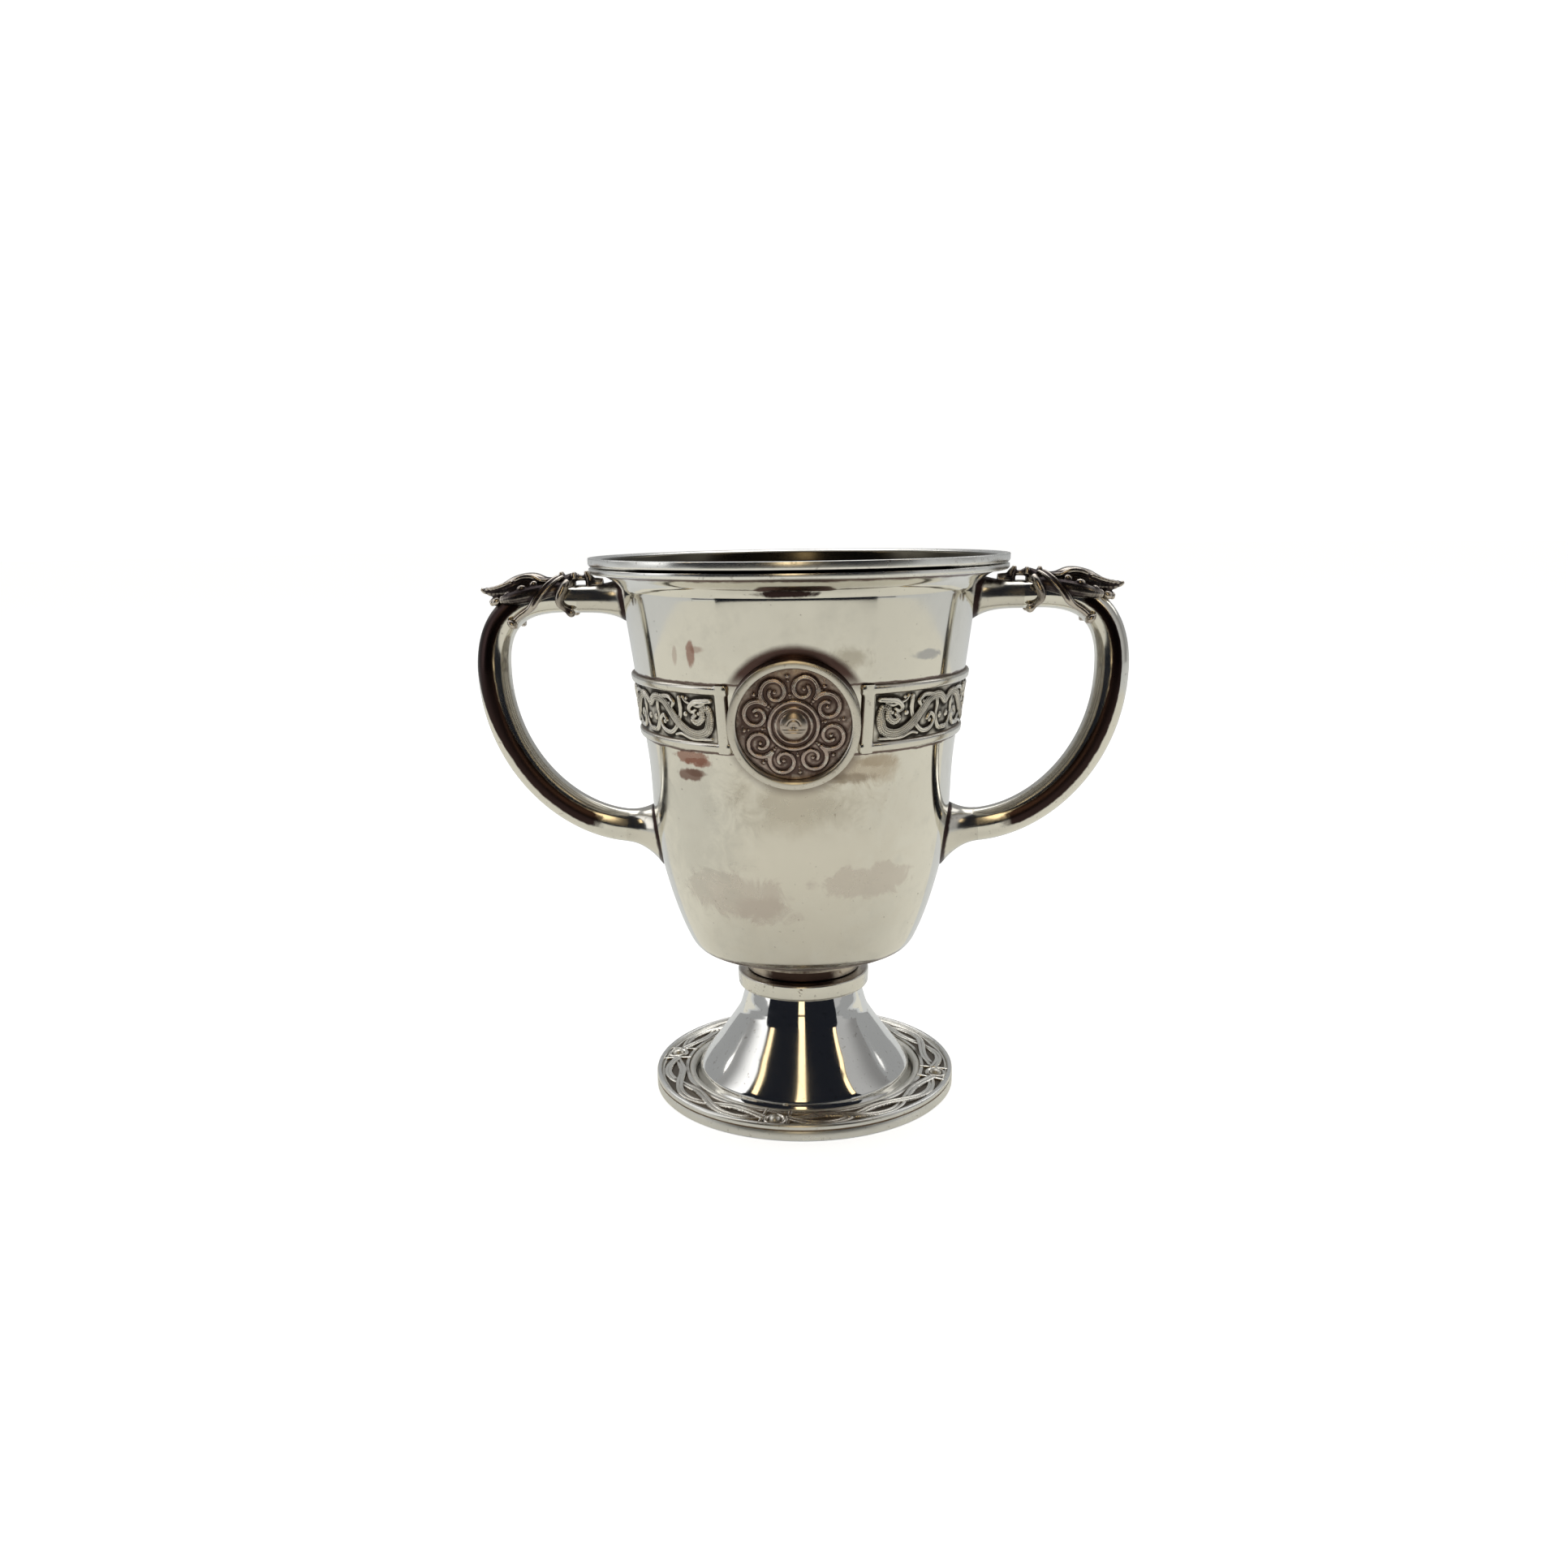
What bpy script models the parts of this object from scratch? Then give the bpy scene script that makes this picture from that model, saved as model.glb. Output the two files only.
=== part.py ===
"""A small two-handled silver cup: a bell-shaped bowl on a spreading foot.

All lengths are in metres. +Z is up, the foot stands on Z = 0, the handles lie along X and
the front medallion faces -Y.
"""

import math

import bmesh
import bpy
from mathutils import Matrix, Vector
from mathutils.geometry import interpolate_bezier

OBJECT_NAME = "two_handled_cup"

# Fits between soldered pieces, and how far a cutter runs past what it cuts
GAP = 0.0003
CUT_MARGIN = 0.004

# Facets of the turned pieces
TURN_STEPS = 36
SMALL_TURN_STEPS = 16
OUTLINE_STEPS = 2
KNOP_STEPS = 6
BAR_SPANS = 12
BAR_SIDES = 12
BEAST_SIDES = 8
BEAST_SPANS = 3
LIMB_SIDES = 6
LIMB_SPANS = 5
LIMB_RESOLUTION = 2

# Foot, from the table upwards
FOOT_RADIUS = 0.0341
FOOT_EDGE_HEIGHT = 0.0038
FOOT_EDGE_LIP = 0.0010
FOOT_EDGE_WIDTH = 0.0028
FOOT_EDGE_ROUND = 0.0004
FOOT_LEDGE_HEIGHT = 0.0019
BRIM_HEIGHT = 0.0019
SHEET_THICKNESS = 0.0010
BORDER_THICKNESS = 0.0014
BORDER_RISE = 0.0005
BORDER_WIDTH = 0.0060
BEAD_RADIUS = 0.0007
COVE_WIDTH = 0.0014
COVE_HEIGHT = 0.0029
COVE_SAG = 0.4
CONE_TOP_RADIUS = 0.0150
CONE_TOP_HEIGHT = 0.0170
NECK_RADIUS = 0.0136
NECK_WAIST_HEIGHT = 0.0212
FOOT_HEIGHT = 0.0230

# Studs on the foot's border
STUD_COUNT = 4
STUD_RADIUS = 0.0012
STUD_HEIGHT = 0.0009
STUD_INSET = 0.0025
FIRST_STUD_TURN = math.radians(-10)

# Knop ring and collar between the foot and the bowl
KNOP_RADIUS = 0.0149
KNOP_HEIGHT = 0.0040
KNOP_BULGE = 0.0008
COLLAR_RADIUS = 0.0144
COLLAR_WAIST_RADIUS = 0.0138
COLLAR_HEIGHT = 0.0057
STEM_BORE_RADIUS = 0.0060

# Bowl: radii of its outer side, with heights above its own base up to the waist
BOWL_HEIGHT = 0.0855
BOWL_FLOOR_RADIUS = 0.0230
BOWL_HEEL = (0.0257, 0.0028)
BOWL_BELLY = (0.0299, 0.0146)
BOWL_SIDE = (0.0324, 0.0268)
BOWL_WAIST = (0.0334, 0.0418)
BOWL_WALL = 0.0010

# Upper part of the bowl: radii, with drops below its mouth
BOWL_BAND = (0.0346, 0.0341)
BOWL_SHOULDER = (0.0363, 0.0211)
BOWL_NECK = (0.0377, 0.0101)
BOWL_THROAT = (0.0381, 0.0068)
BOWL_FLARE = (0.0392, 0.0049)
BOWL_LIP = (0.0429, 0.0023)

# Moulded wire round the mouth: a lip bead over a smaller bead
RIM_THICKNESS = 0.0020
RIM_CREST = 0.0009
RIM_LIP_BEAD = 0.0010
RIM_LOWER_BEAD = 0.0007
RIM_GROOVE_DEPTH = 0.0005

# Band of strapwork, with a sunk relief panel in a frame on each side
BAND_DROP = 0.0234
BAND_HEIGHT = 0.0138
BAND_RAIL = 0.0021
BAND_END_BAR = 0.0029
BAND_FRAME_THICKNESS = 0.0006
BAND_PANEL_THICKNESS = 0.0004
BAND_RAIL_ROUND = 0.0004
BAND_PANEL_ROUND = 0.0001

# Medallions, front and back
MEDALLION_RADIUS = 0.0130
MEDALLION_STANDOFF = 0.0034
BEZEL_WIDTH = 0.0017
BEZEL_ROUND = 0.0006
DISC_RECESS = 0.0008
BOSS_RADIUS = 0.0029
BOSS_HEIGHT = 0.0012

# Handles: a round bar bent like a C, held in a flared socket at each end
HANDLE_REACH = 0.0677
HANDLE_TOP_DROP = 0.0090
HANDLE_WIDEST_DROP = 0.0242
HANDLE_FOOT_DROP = 0.0598
HANDLE_FOOT_SLOPE = math.radians(5)
HANDLE_RADIUS = 0.0037
HANDLE_TOP_RADIUS = 0.0030
UPPER_BEND_REACH = 0.0045
UPPER_BEND_RISE = 0.0178
LOWER_BEND_DROP = 0.0203
LOWER_BEND_REACH = 0.0140
UPPER_SOCKET_LENGTH = 0.0102
UPPER_SOCKET_FLARE = 0.0048
UPPER_SOCKET_CURVE = 3.3
LOWER_SOCKET_LENGTH = 0.0066
LOWER_SOCKET_FLARE = 0.0063
LOWER_SOCKET_CURVE = 2.0
SOCKET_SPANS = 4
SOCKET_SPARE_SPANS = 2

# Beast cast on top of each handle: length along the bar from its upper joint, height over the
# bar's middle line, and thickness as a radius
BEAST_TAIL_ROOT = (-0.0040, 0.0010, 0.0010)
BEAST_TAIL_BEND = (-0.0030, 0.0040, 0.0009)
BEAST_TAIL_TIP = (-0.0024, 0.0062, 0.0009)
BEAST_RUMP = (-0.0020, 0.0052, 0.0009)
BEAST_HAUNCH = (0.0018, 0.0034, 0.0025)
BEAST_BACK = (0.0047, 0.0028, 0.0023)
BEAST_NECK = (0.0070, 0.0031, 0.0026)
BEAST_BROW = (0.0096, 0.0037, 0.0033)
BEAST_CHEEK = (0.0128, 0.0040, 0.0029)
BEAST_MUZZLE = (0.0150, 0.0054, 0.0020)
BEAST_SNOUT = (0.0157, 0.0085, 0.0006)
BEAST_JAW_ROOT = (0.0125, 0.0030, 0.0018)
BEAST_JAW_BEND = (0.0150, 0.0042, 0.0014)
BEAST_JAW_TIP = (0.0168, 0.0053, 0.0009)

# Limbs that wind round the bar: lengths along the bar at the root, the bend and the paw, and
# the paw's turn from the bar's outer side
LIMB_RADIUS = 0.0009
PAW_RADIUS = 0.0014
FORELIMB = (0.0015, 0.0030, 0.0145, math.radians(110))
HINDLIMB = (0.0014, 0.0080, 0.0006, math.radians(130))
LIMB_ROOT_ANGLE = math.radians(15)

# Colours, metallic values and roughness
SILVER = ((0.86, 0.83, 0.76), 1.0, 0.16)
WORN_SILVER = ((0.74, 0.71, 0.65), 1.0, 0.28)
DARK_SILVER = ((0.42, 0.39, 0.36), 1.0, 0.42)
TONED_SILVER = ((0.46, 0.37, 0.32), 1.0, 0.40)

# Heights worked out from the stack of pieces
KNOP_BASE_Z = FOOT_HEIGHT + GAP
COLLAR_BASE_Z = KNOP_BASE_Z + KNOP_HEIGHT + GAP
BOWL_BASE_Z = COLLAR_BASE_Z + COLLAR_HEIGHT + GAP
BOWL_TOP_Z = BOWL_BASE_Z + BOWL_HEIGHT
RIM_TOP_Z = BOWL_TOP_Z + RIM_CREST
BAND_TOP_Z = BOWL_TOP_Z - BAND_DROP
BAND_BOTTOM_Z = BAND_TOP_Z - BAND_HEIGHT
BAND_MIDDLE_Z = BAND_BOTTOM_Z + BAND_HEIGHT / 2
RIM_INNER_RADIUS = BOWL_LIP[0] + GAP
RIM_OUTER_RADIUS = RIM_INNER_RADIUS + RIM_THICKNESS
RIM_BASE_Z = RIM_TOP_Z - 2 * RIM_LIP_BEAD - 2 * RIM_LOWER_BEAD
HANDLE_TOP_Z = RIM_TOP_Z - HANDLE_TOP_DROP


# Scene and object helpers


def clear_scene():
    """Remove every object of the open scene."""
    for obj in list(bpy.data.objects):
        bpy.data.objects.remove(obj, do_unlink=True)


def new_collection(name):
    """A collection linked to the scene."""
    collection = bpy.data.collections.new(name)
    bpy.context.scene.collection.children.link(collection)
    return collection


def metal(name, look):
    """A Principled material from a colour, a metallic value and a roughness."""
    colour, metallic, roughness = look
    material = bpy.data.materials.new(name)
    material.use_nodes = True
    shader = material.node_tree.nodes["Principled BSDF"]
    shader.inputs["Base Color"].default_value = (*colour, 1.0)
    shader.inputs["Metallic"].default_value = metallic
    shader.inputs["Roughness"].default_value = roughness
    material.diffuse_color = (*colour, 1.0)
    return material


def new_object(name, mesh, collection):
    """An object for a mesh, in one collection."""
    obj = bpy.data.objects.new(name, mesh)
    collection.objects.link(obj)
    return obj


def make_cutter(obj):
    """Mark an object as a cutter: drawn as wire and never rendered."""
    obj.hide_render = True
    obj.display_type = "WIRE"
    return obj


def settle(obj):
    """Turn an object's modifiers, or a curve's bevel, into a plain closed mesh."""
    bpy.context.view_layer.update()
    evaluated = obj.evaluated_get(bpy.context.evaluated_depsgraph_get())
    mesh = bpy.data.meshes.new_from_object(evaluated)
    mesh.name = obj.name
    work = bmesh.new()
    work.from_mesh(mesh)
    bmesh.ops.remove_doubles(work, verts=work.verts, dist=1e-6)
    bmesh.ops.recalc_face_normals(work, faces=work.faces)
    work.to_mesh(mesh)
    work.free()
    name = obj.name
    collection = obj.users_collection[0]
    place = obj.matrix_world.copy()
    bpy.data.objects.remove(obj, do_unlink=True)
    settled = new_object(name, mesh, collection)
    settled.matrix_world = place
    return settled


def shade(obj, material):
    """Give an object its material and smooth shading with sharp edges kept."""
    obj.data.materials.clear()
    obj.data.materials.append(material)
    obj.data.shade_smooth()
    obj.data.set_sharp_from_angle(angle=math.radians(35))
    return obj


def boolean(obj, cutter, operation):
    """Add an exact Boolean to an object."""
    modifier = obj.modifiers.new(operation.lower(), "BOOLEAN")
    modifier.operation = operation
    modifier.object = cutter
    modifier.solver = "EXACT"
    modifier.use_self = True
    return obj


def outline_mesh(name, points, closed):
    """A mesh of edges along (radius, height) points in the XZ plane."""
    mesh = bpy.data.meshes.new(name)
    corners = [(radius, 0.0, height) for radius, height in points]
    edges = [(i, i + 1) for i in range(len(points) - 1)]
    if closed:
        edges.append((len(points) - 1, 0))
    mesh.from_pydata(corners, edges, [])
    return mesh


def turned(name, points, collection, closed=True, steps=TURN_STEPS):
    """Turn an outline about Z. Its outer side runs from top to bottom."""
    obj = new_object(name, outline_mesh(name, points, closed), collection)
    screw = obj.modifiers.new("turn", "SCREW")
    screw.axis = "Z"
    screw.angle = math.tau
    screw.steps = steps
    screw.render_steps = steps
    screw.use_merge_vertices = True
    screw.merge_threshold = 0.00001
    screw.use_smooth_shade = True
    return obj


def turned_shell(name, points, thickness, collection):
    """Turn an open outline and thicken it inwards."""
    obj = turned(name, points, collection, closed=False)
    solidify = obj.modifiers.new("wall", "SOLIDIFY")
    solidify.thickness = thickness
    solidify.offset = -1.0
    solidify.use_even_offset = True
    return obj


def box(name, low, high, collection):
    """A box between two corners."""
    mesh = bpy.data.meshes.new(name)
    work = bmesh.new()
    bmesh.ops.create_cube(work, size=1.0)
    size = Vector(high) - Vector(low)
    middle = (Vector(high) + Vector(low)) / 2
    bmesh.ops.scale(work, verts=work.verts, vec=size)
    bmesh.ops.translate(work, verts=work.verts, vec=middle)
    work.to_mesh(mesh)
    work.free()
    return new_object(name, mesh, collection)


def tube(name, points, radii, collection, sides, resolution):
    """A smooth tube through points, with a radius at each and its ends capped."""
    curve = bpy.data.curves.new(name, "CURVE")
    curve.dimensions = "3D"
    curve.resolution_u = resolution
    curve.bevel_depth = max(radii)
    curve.bevel_resolution = (sides - 4) // 2
    curve.use_fill_caps = True
    spline = curve.splines.new("BEZIER")
    spline.bezier_points.add(len(points) - 1)
    for knot, point, radius in zip(spline.bezier_points, points, radii):
        knot.co = point
        knot.radius = radius / max(radii)
        knot.handle_left_type = "AUTO"
        knot.handle_right_type = "AUTO"
    obj = bpy.data.objects.new(name, curve)
    collection.objects.link(obj)
    return obj


def copy_turned_half(obj, name, material):
    """The same piece on the far side of the cup: half a turn about the cup's axis."""
    twin = new_object(name, obj.data.copy(), obj.users_collection[0])
    twin.matrix_world = Matrix.Rotation(math.pi, 4, "Z") @ obj.matrix_world
    return shade(twin, material)


# Outlines


def smooth_outline(knots, steps):
    """A smooth curve through (radius, height) knots."""
    flat = [Vector((radius, height, 0.0)) for radius, height in knots]
    slopes = []
    for i, knot in enumerate(flat):
        before = flat[max(i - 1, 0)]
        after = flat[min(i + 1, len(flat) - 1)]
        slopes.append((after - before).normalized())
    points = []
    for i in range(len(flat) - 1):
        reach = (flat[i + 1] - flat[i]).length / 3
        first = flat[i] + slopes[i] * reach
        second = flat[i + 1] - slopes[i + 1] * reach
        part = interpolate_bezier(flat[i], first, second, flat[i + 1], steps + 1)
        points += part[:-1]
    points.append(flat[-1])
    return [(point.x, point.y) for point in points]


def arc(centre, radius, start, end, steps):
    """Points on an arc in the (radius, height) plane, with angles in degrees."""
    points = []
    for i in range(steps + 1):
        angle = math.radians(start + (end - start) * i / steps)
        points.append((centre[0] + radius * math.cos(angle), centre[1] + radius * math.sin(angle)))
    return points


def dome_outline(radius, height, steps=3):
    """Outline of a solid dome from its top to its rim and the middle of its base."""
    points = []
    for i in range(steps + 1):
        turn = math.pi / 2 * (1 - i / steps)
        points.append((radius * math.cos(turn), height * math.sin(turn)))
    points[0] = (0.0, height)
    return points + [(0.0, 0.0)]


def offset_outline(points, distance):
    """The outline moved outwards along its own normals. It runs from top to bottom."""
    moved = []
    for i, (radius, height) in enumerate(points):
        before = points[max(i - 1, 0)]
        after = points[min(i + 1, len(points) - 1)]
        along = Vector((after[0] - before[0], after[1] - before[1])).normalized()
        moved.append((radius - along.y * distance, height + along.x * distance))
    return moved


def bowl_outline():
    """The bowl's outer side, from the mouth down to the middle of its floor."""
    upper = (BOWL_LIP, BOWL_FLARE, BOWL_THROAT, BOWL_NECK, BOWL_SHOULDER, BOWL_BAND)
    wall_knots = [(radius, BOWL_HEIGHT - drop) for radius, drop in upper]
    wall_knots += [BOWL_WAIST, BOWL_SIDE, BOWL_BELLY, BOWL_HEEL, (BOWL_FLOOR_RADIUS, 0.0), (0.0, 0.0)]
    wall = smooth_outline(wall_knots, OUTLINE_STEPS)
    floor_edge = len(wall) - OUTLINE_STEPS
    outline = [(BOWL_LIP[0], BOWL_HEIGHT)] + wall[:floor_edge] + [(0.0, 0.0)]
    return [(radius, max(height, 0.0) + BOWL_BASE_Z) for radius, height in outline]


def wall_radius(height):
    """The bowl's outer radius at a height above the table."""
    outline = bowl_outline()
    for (upper_radius, upper), (lower_radius, lower) in zip(outline, outline[1:]):
        if lower <= height <= upper and upper > lower:
            share = (height - lower) / (upper - lower)
            return lower_radius + (upper_radius - lower_radius) * share
    return outline[0][0]


def wall_tilt():
    """How far the wall behind the medallions leans outwards, as an angle."""
    upper = wall_radius(BAND_TOP_Z)
    lower = wall_radius(BAND_BOTTOM_Z)
    return math.atan2(upper - lower, BAND_HEIGHT)


# Foot


def foot_shell(parts):
    """Spun foot: a flat top, a neck, a straight cone, a cove and a flat brim."""
    cove_end = border_inner_radius() - 2 * (GAP + BEAD_RADIUS)
    cone_base_radius = cove_end - COVE_WIDTH
    outline = [(0.0, FOOT_HEIGHT), (NECK_RADIUS, FOOT_HEIGHT)]
    outline += smooth_outline(
        [
            (NECK_RADIUS, NECK_WAIST_HEIGHT),
            (NECK_RADIUS + (CONE_TOP_RADIUS - NECK_RADIUS) / 3, (NECK_WAIST_HEIGHT + CONE_TOP_HEIGHT) / 2),
            (CONE_TOP_RADIUS, CONE_TOP_HEIGHT),
        ],
        OUTLINE_STEPS,
    )
    outline.append((cone_base_radius, BRIM_HEIGHT + COVE_HEIGHT))
    outline.append((cone_base_radius + COVE_WIDTH * COVE_SAG, BRIM_HEIGHT + COVE_HEIGHT * COVE_SAG))
    outline.append((cove_end, BRIM_HEIGHT))
    outline.append((FOOT_RADIUS - FOOT_EDGE_WIDTH - GAP, BRIM_HEIGHT))
    obj = turned_shell("foot_cone", outline, SHEET_THICKNESS, parts)
    return shade(settle(obj), metal("foot_cone", SILVER))


def border_inner_radius():
    """Where the border's inner edge lies."""
    return FOOT_RADIUS - FOOT_EDGE_LIP - GAP - BORDER_WIDTH


def foot_border(parts):
    """Cast border that lies on the brim and on the ledge of the foot's edge."""
    outer = FOOT_RADIUS - FOOT_EDGE_LIP - GAP
    inner = border_inner_radius()
    base = max(BRIM_HEIGHT, FOOT_LEDGE_HEIGHT) + GAP
    top = base + BORDER_THICKNESS
    outline = [(inner, top + BORDER_RISE), (outer, top), (outer, base), (inner, base)]
    obj = turned("foot_border", outline, parts)
    bevel = obj.modifiers.new("soft edges", "BEVEL")
    bevel.width = BORDER_THICKNESS / 5
    bevel.segments = 1
    bevel.limit_method = "ANGLE"
    return shade(settle(obj), metal("foot_border", DARK_SILVER))


def foot_bead(parts):
    """Plain wire that lies in the corner between the cone's cove and the border."""
    centre = (border_inner_radius() - GAP - BEAD_RADIUS, BRIM_HEIGHT + GAP + BEAD_RADIUS)
    obj = turned("foot_bead", arc(centre, BEAD_RADIUS, 90, -210, 5), parts)
    return shade(settle(obj), metal("foot_bead", WORN_SILVER))


def foot_edge(parts):
    """Moulded wire that the cup stands on, with a ledge for the border inside its lip."""
    inner = FOOT_RADIUS - FOOT_EDGE_WIDTH
    lip_inner = FOOT_RADIUS - FOOT_EDGE_LIP
    corner = (FOOT_RADIUS - FOOT_EDGE_ROUND, FOOT_EDGE_HEIGHT - FOOT_EDGE_ROUND)
    outline = [(lip_inner, FOOT_EDGE_HEIGHT)]
    outline += arc(corner, FOOT_EDGE_ROUND, 90, 0, 3)
    outline += [(FOOT_RADIUS, 0.0), (inner, 0.0), (inner, FOOT_LEDGE_HEIGHT), (lip_inner, FOOT_LEDGE_HEIGHT)]
    obj = turned("foot_edge", outline, parts)
    return shade(settle(obj), metal("foot_edge", WORN_SILVER))


def border_top(radius):
    """Height of the border's upper face at a radius."""
    outer = FOOT_RADIUS - FOOT_EDGE_LIP - GAP
    share = (outer - radius) / BORDER_WIDTH
    return max(BRIM_HEIGHT, FOOT_LEDGE_HEIGHT) + GAP + BORDER_THICKNESS + BORDER_RISE * share


def foot_studs(parts):
    """Round studs, evenly spaced on the border."""
    ring = FOOT_RADIUS - FOOT_EDGE_LIP - STUD_INSET
    lean = math.atan2(BORDER_RISE, BORDER_WIDTH)
    dome = dome_outline(STUD_RADIUS, STUD_HEIGHT)
    for i in range(STUD_COUNT):
        name = f"foot_stud_{i + 1}"
        obj = turned(name, dome, parts, closed=False, steps=SMALL_TURN_STEPS)
        place = Matrix.Rotation(FIRST_STUD_TURN + math.tau * i / STUD_COUNT, 4, "Z")
        place = place @ Matrix.Translation((0.0, -ring, border_top(ring) + GAP))
        obj.matrix_world = place @ Matrix.Rotation(lean, 4, "X")
        shade(settle(obj), metal(name, WORN_SILVER))


# Stem


def knop_ring(parts):
    """Rounded ring round the top of the stem."""
    middle = KNOP_BASE_Z + KNOP_HEIGHT / 2
    outline = []
    for rise, swell in arc((0.0, 0.0), 1.0, 0, 180, KNOP_STEPS):
        outline.append((KNOP_RADIUS - KNOP_BULGE * (1 - swell), middle + KNOP_HEIGHT / 2 * rise))
    outline += [(STEM_BORE_RADIUS, KNOP_BASE_Z), (STEM_BORE_RADIUS, KNOP_BASE_Z + KNOP_HEIGHT)]
    obj = turned("knop_ring", outline, parts)
    return shade(settle(obj), metal("knop_ring", SILVER))


def stem_collar(parts):
    """Waisted collar that carries the bowl."""
    top = COLLAR_BASE_Z + COLLAR_HEIGHT
    middle = (COLLAR_BASE_Z + top) / 2
    outline = smooth_outline(
        [(COLLAR_RADIUS, top), (COLLAR_WAIST_RADIUS, middle), (COLLAR_RADIUS, COLLAR_BASE_Z)], OUTLINE_STEPS
    )
    outline += [(STEM_BORE_RADIUS, COLLAR_BASE_Z), (STEM_BORE_RADIUS, top)]
    obj = turned("stem_collar", outline, parts)
    return shade(settle(obj), metal("stem_collar", WORN_SILVER))


# Bowl and rim


def bowl(parts):
    """Raised bowl, open at the mouth."""
    obj = turned_shell("bowl", bowl_outline(), BOWL_WALL, parts)
    return shade(settle(obj), metal("bowl", SILVER))


def rim_moulding(parts):
    """Moulded wire round the mouth, with a groove between its two beads."""
    lip_centre = (RIM_OUTER_RADIUS - RIM_LIP_BEAD, RIM_TOP_Z - RIM_LIP_BEAD)
    lower_centre = (RIM_OUTER_RADIUS - RIM_LOWER_BEAD - RIM_GROOVE_DEPTH / 3, RIM_BASE_Z + RIM_LOWER_BEAD)
    groove = (RIM_OUTER_RADIUS - RIM_LIP_BEAD - RIM_GROOVE_DEPTH, RIM_BASE_Z + 2 * RIM_LOWER_BEAD)
    outline = [(RIM_INNER_RADIUS, lip_centre[1])]
    outline += arc(lip_centre, RIM_LIP_BEAD, 150, -30, 6)
    outline.append(groove)
    outline += arc(lower_centre, RIM_LOWER_BEAD, 30, -90, 4)
    outline.append((RIM_INNER_RADIUS, RIM_BASE_Z))
    obj = turned("rim_moulding", outline, parts)
    return shade(settle(obj), metal("rim_moulding", SILVER))


def seat_cutter(cutters):
    """The room that the bowl and the rim take up, grown by the gap."""
    wall = offset_outline(bowl_outline(), GAP)
    above = RIM_TOP_Z + CUT_MARGIN
    outline = [(0.0, above), (RIM_OUTER_RADIUS + GAP, above), (RIM_OUTER_RADIUS + GAP, RIM_BASE_Z - GAP)]
    outline += [point for point in wall if point[1] < RIM_BASE_Z - GAP]
    outline[-1] = (0.0, outline[-1][1])
    return make_cutter(settle(turned("bowl_room", outline, cutters, closed=False)))


# Band


def band_slice(low, high, thickness, round_width, steps=3):
    """Closed outline of a strap that follows the wall between two heights, with eased edges."""
    outer = []
    inner = []
    for i in range(steps + 1):
        height = high + (low - high) * i / steps
        seat = wall_radius(height) + GAP
        inner.append((seat, height))
        outer.append((seat + thickness, height))
    outer[0] = (outer[0][0] - round_width, outer[0][1])
    outer.insert(1, (inner[0][0] + thickness, high - round_width))
    outer[-1] = (outer[-1][0] - round_width, outer[-1][1])
    outer.insert(-1, (inner[-1][0] + thickness, low + round_width))
    return outer + inner[::-1]


def band_frame(parts, cutters):
    """Right-hand frame: two rails joined by an end bar beside each medallion."""
    low = BAND_BOTTOM_Z
    high = BAND_TOP_Z
    reach = FOOT_RADIUS + BOWL_LIP[0]
    end = MEDALLION_RADIUS + GAP
    frame = turned("band_frame_right", band_slice(low, high, BAND_FRAME_THICKNESS, BAND_RAIL_ROUND), parts)
    near = box("frame_side", (0.0, -reach, low - CUT_MARGIN), (reach, reach, high + CUT_MARGIN), cutters)
    make_cutter(near)
    gaps = box("frame_ends", (-end, -reach, low - CUT_MARGIN), (end, reach, high + CUT_MARGIN), cutters)
    make_cutter(gaps)
    window_ring = [
        (reach, high - BAND_RAIL),
        (reach, low + BAND_RAIL),
        (BOWL_FLOOR_RADIUS, low + BAND_RAIL),
        (BOWL_FLOOR_RADIUS, high - BAND_RAIL),
    ]
    window = turned("frame_window", window_ring, cutters)
    panel_end = end + BAND_END_BAR
    window_side = box(
        "window_side", (panel_end, -reach, low - CUT_MARGIN), (2 * reach, reach, high + CUT_MARGIN), cutters
    )
    make_cutter(window_side)
    boolean(window, window_side, "INTERSECT")
    window = make_cutter(settle(window))
    boolean(frame, near, "INTERSECT")
    boolean(frame, gaps, "DIFFERENCE")
    boolean(frame, window, "DIFFERENCE")
    right = shade(settle(frame), metal("band_frame_right", WORN_SILVER))
    copy_turned_half(right, "band_frame_left", metal("band_frame_left", WORN_SILVER))


def band_panel(parts, cutters):
    """Right-hand relief panel, sunk between the rails."""
    low = BAND_BOTTOM_Z + BAND_RAIL + GAP
    high = BAND_TOP_Z - BAND_RAIL - GAP
    reach = FOOT_RADIUS + BOWL_LIP[0]
    end = MEDALLION_RADIUS + GAP + BAND_END_BAR + GAP
    panel = turned("band_panel_right", band_slice(low, high, BAND_PANEL_THICKNESS, BAND_PANEL_ROUND), parts)
    side = box("panel_side", (end, -reach, low - CUT_MARGIN), (reach, reach, high + CUT_MARGIN), cutters)
    boolean(panel, make_cutter(side), "INTERSECT")
    right = shade(settle(panel), metal("band_panel_right", DARK_SILVER))
    copy_turned_half(right, "band_panel_left", metal("band_panel_left", DARK_SILVER))


# Medallions


def medallion_place():
    """Where the front medallion's face lies: its middle, with local +Z pointing out of it."""
    tilt = wall_tilt()
    outwards = Vector((0.0, -math.cos(tilt), -math.sin(tilt)))
    middle = Vector((0.0, -wall_radius(BAND_MIDDLE_Z), BAND_MIDDLE_Z)) + outwards * MEDALLION_STANDOFF
    return Matrix.Translation(middle) @ Matrix.Rotation(math.pi / 2 + tilt, 4, "X")


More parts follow.
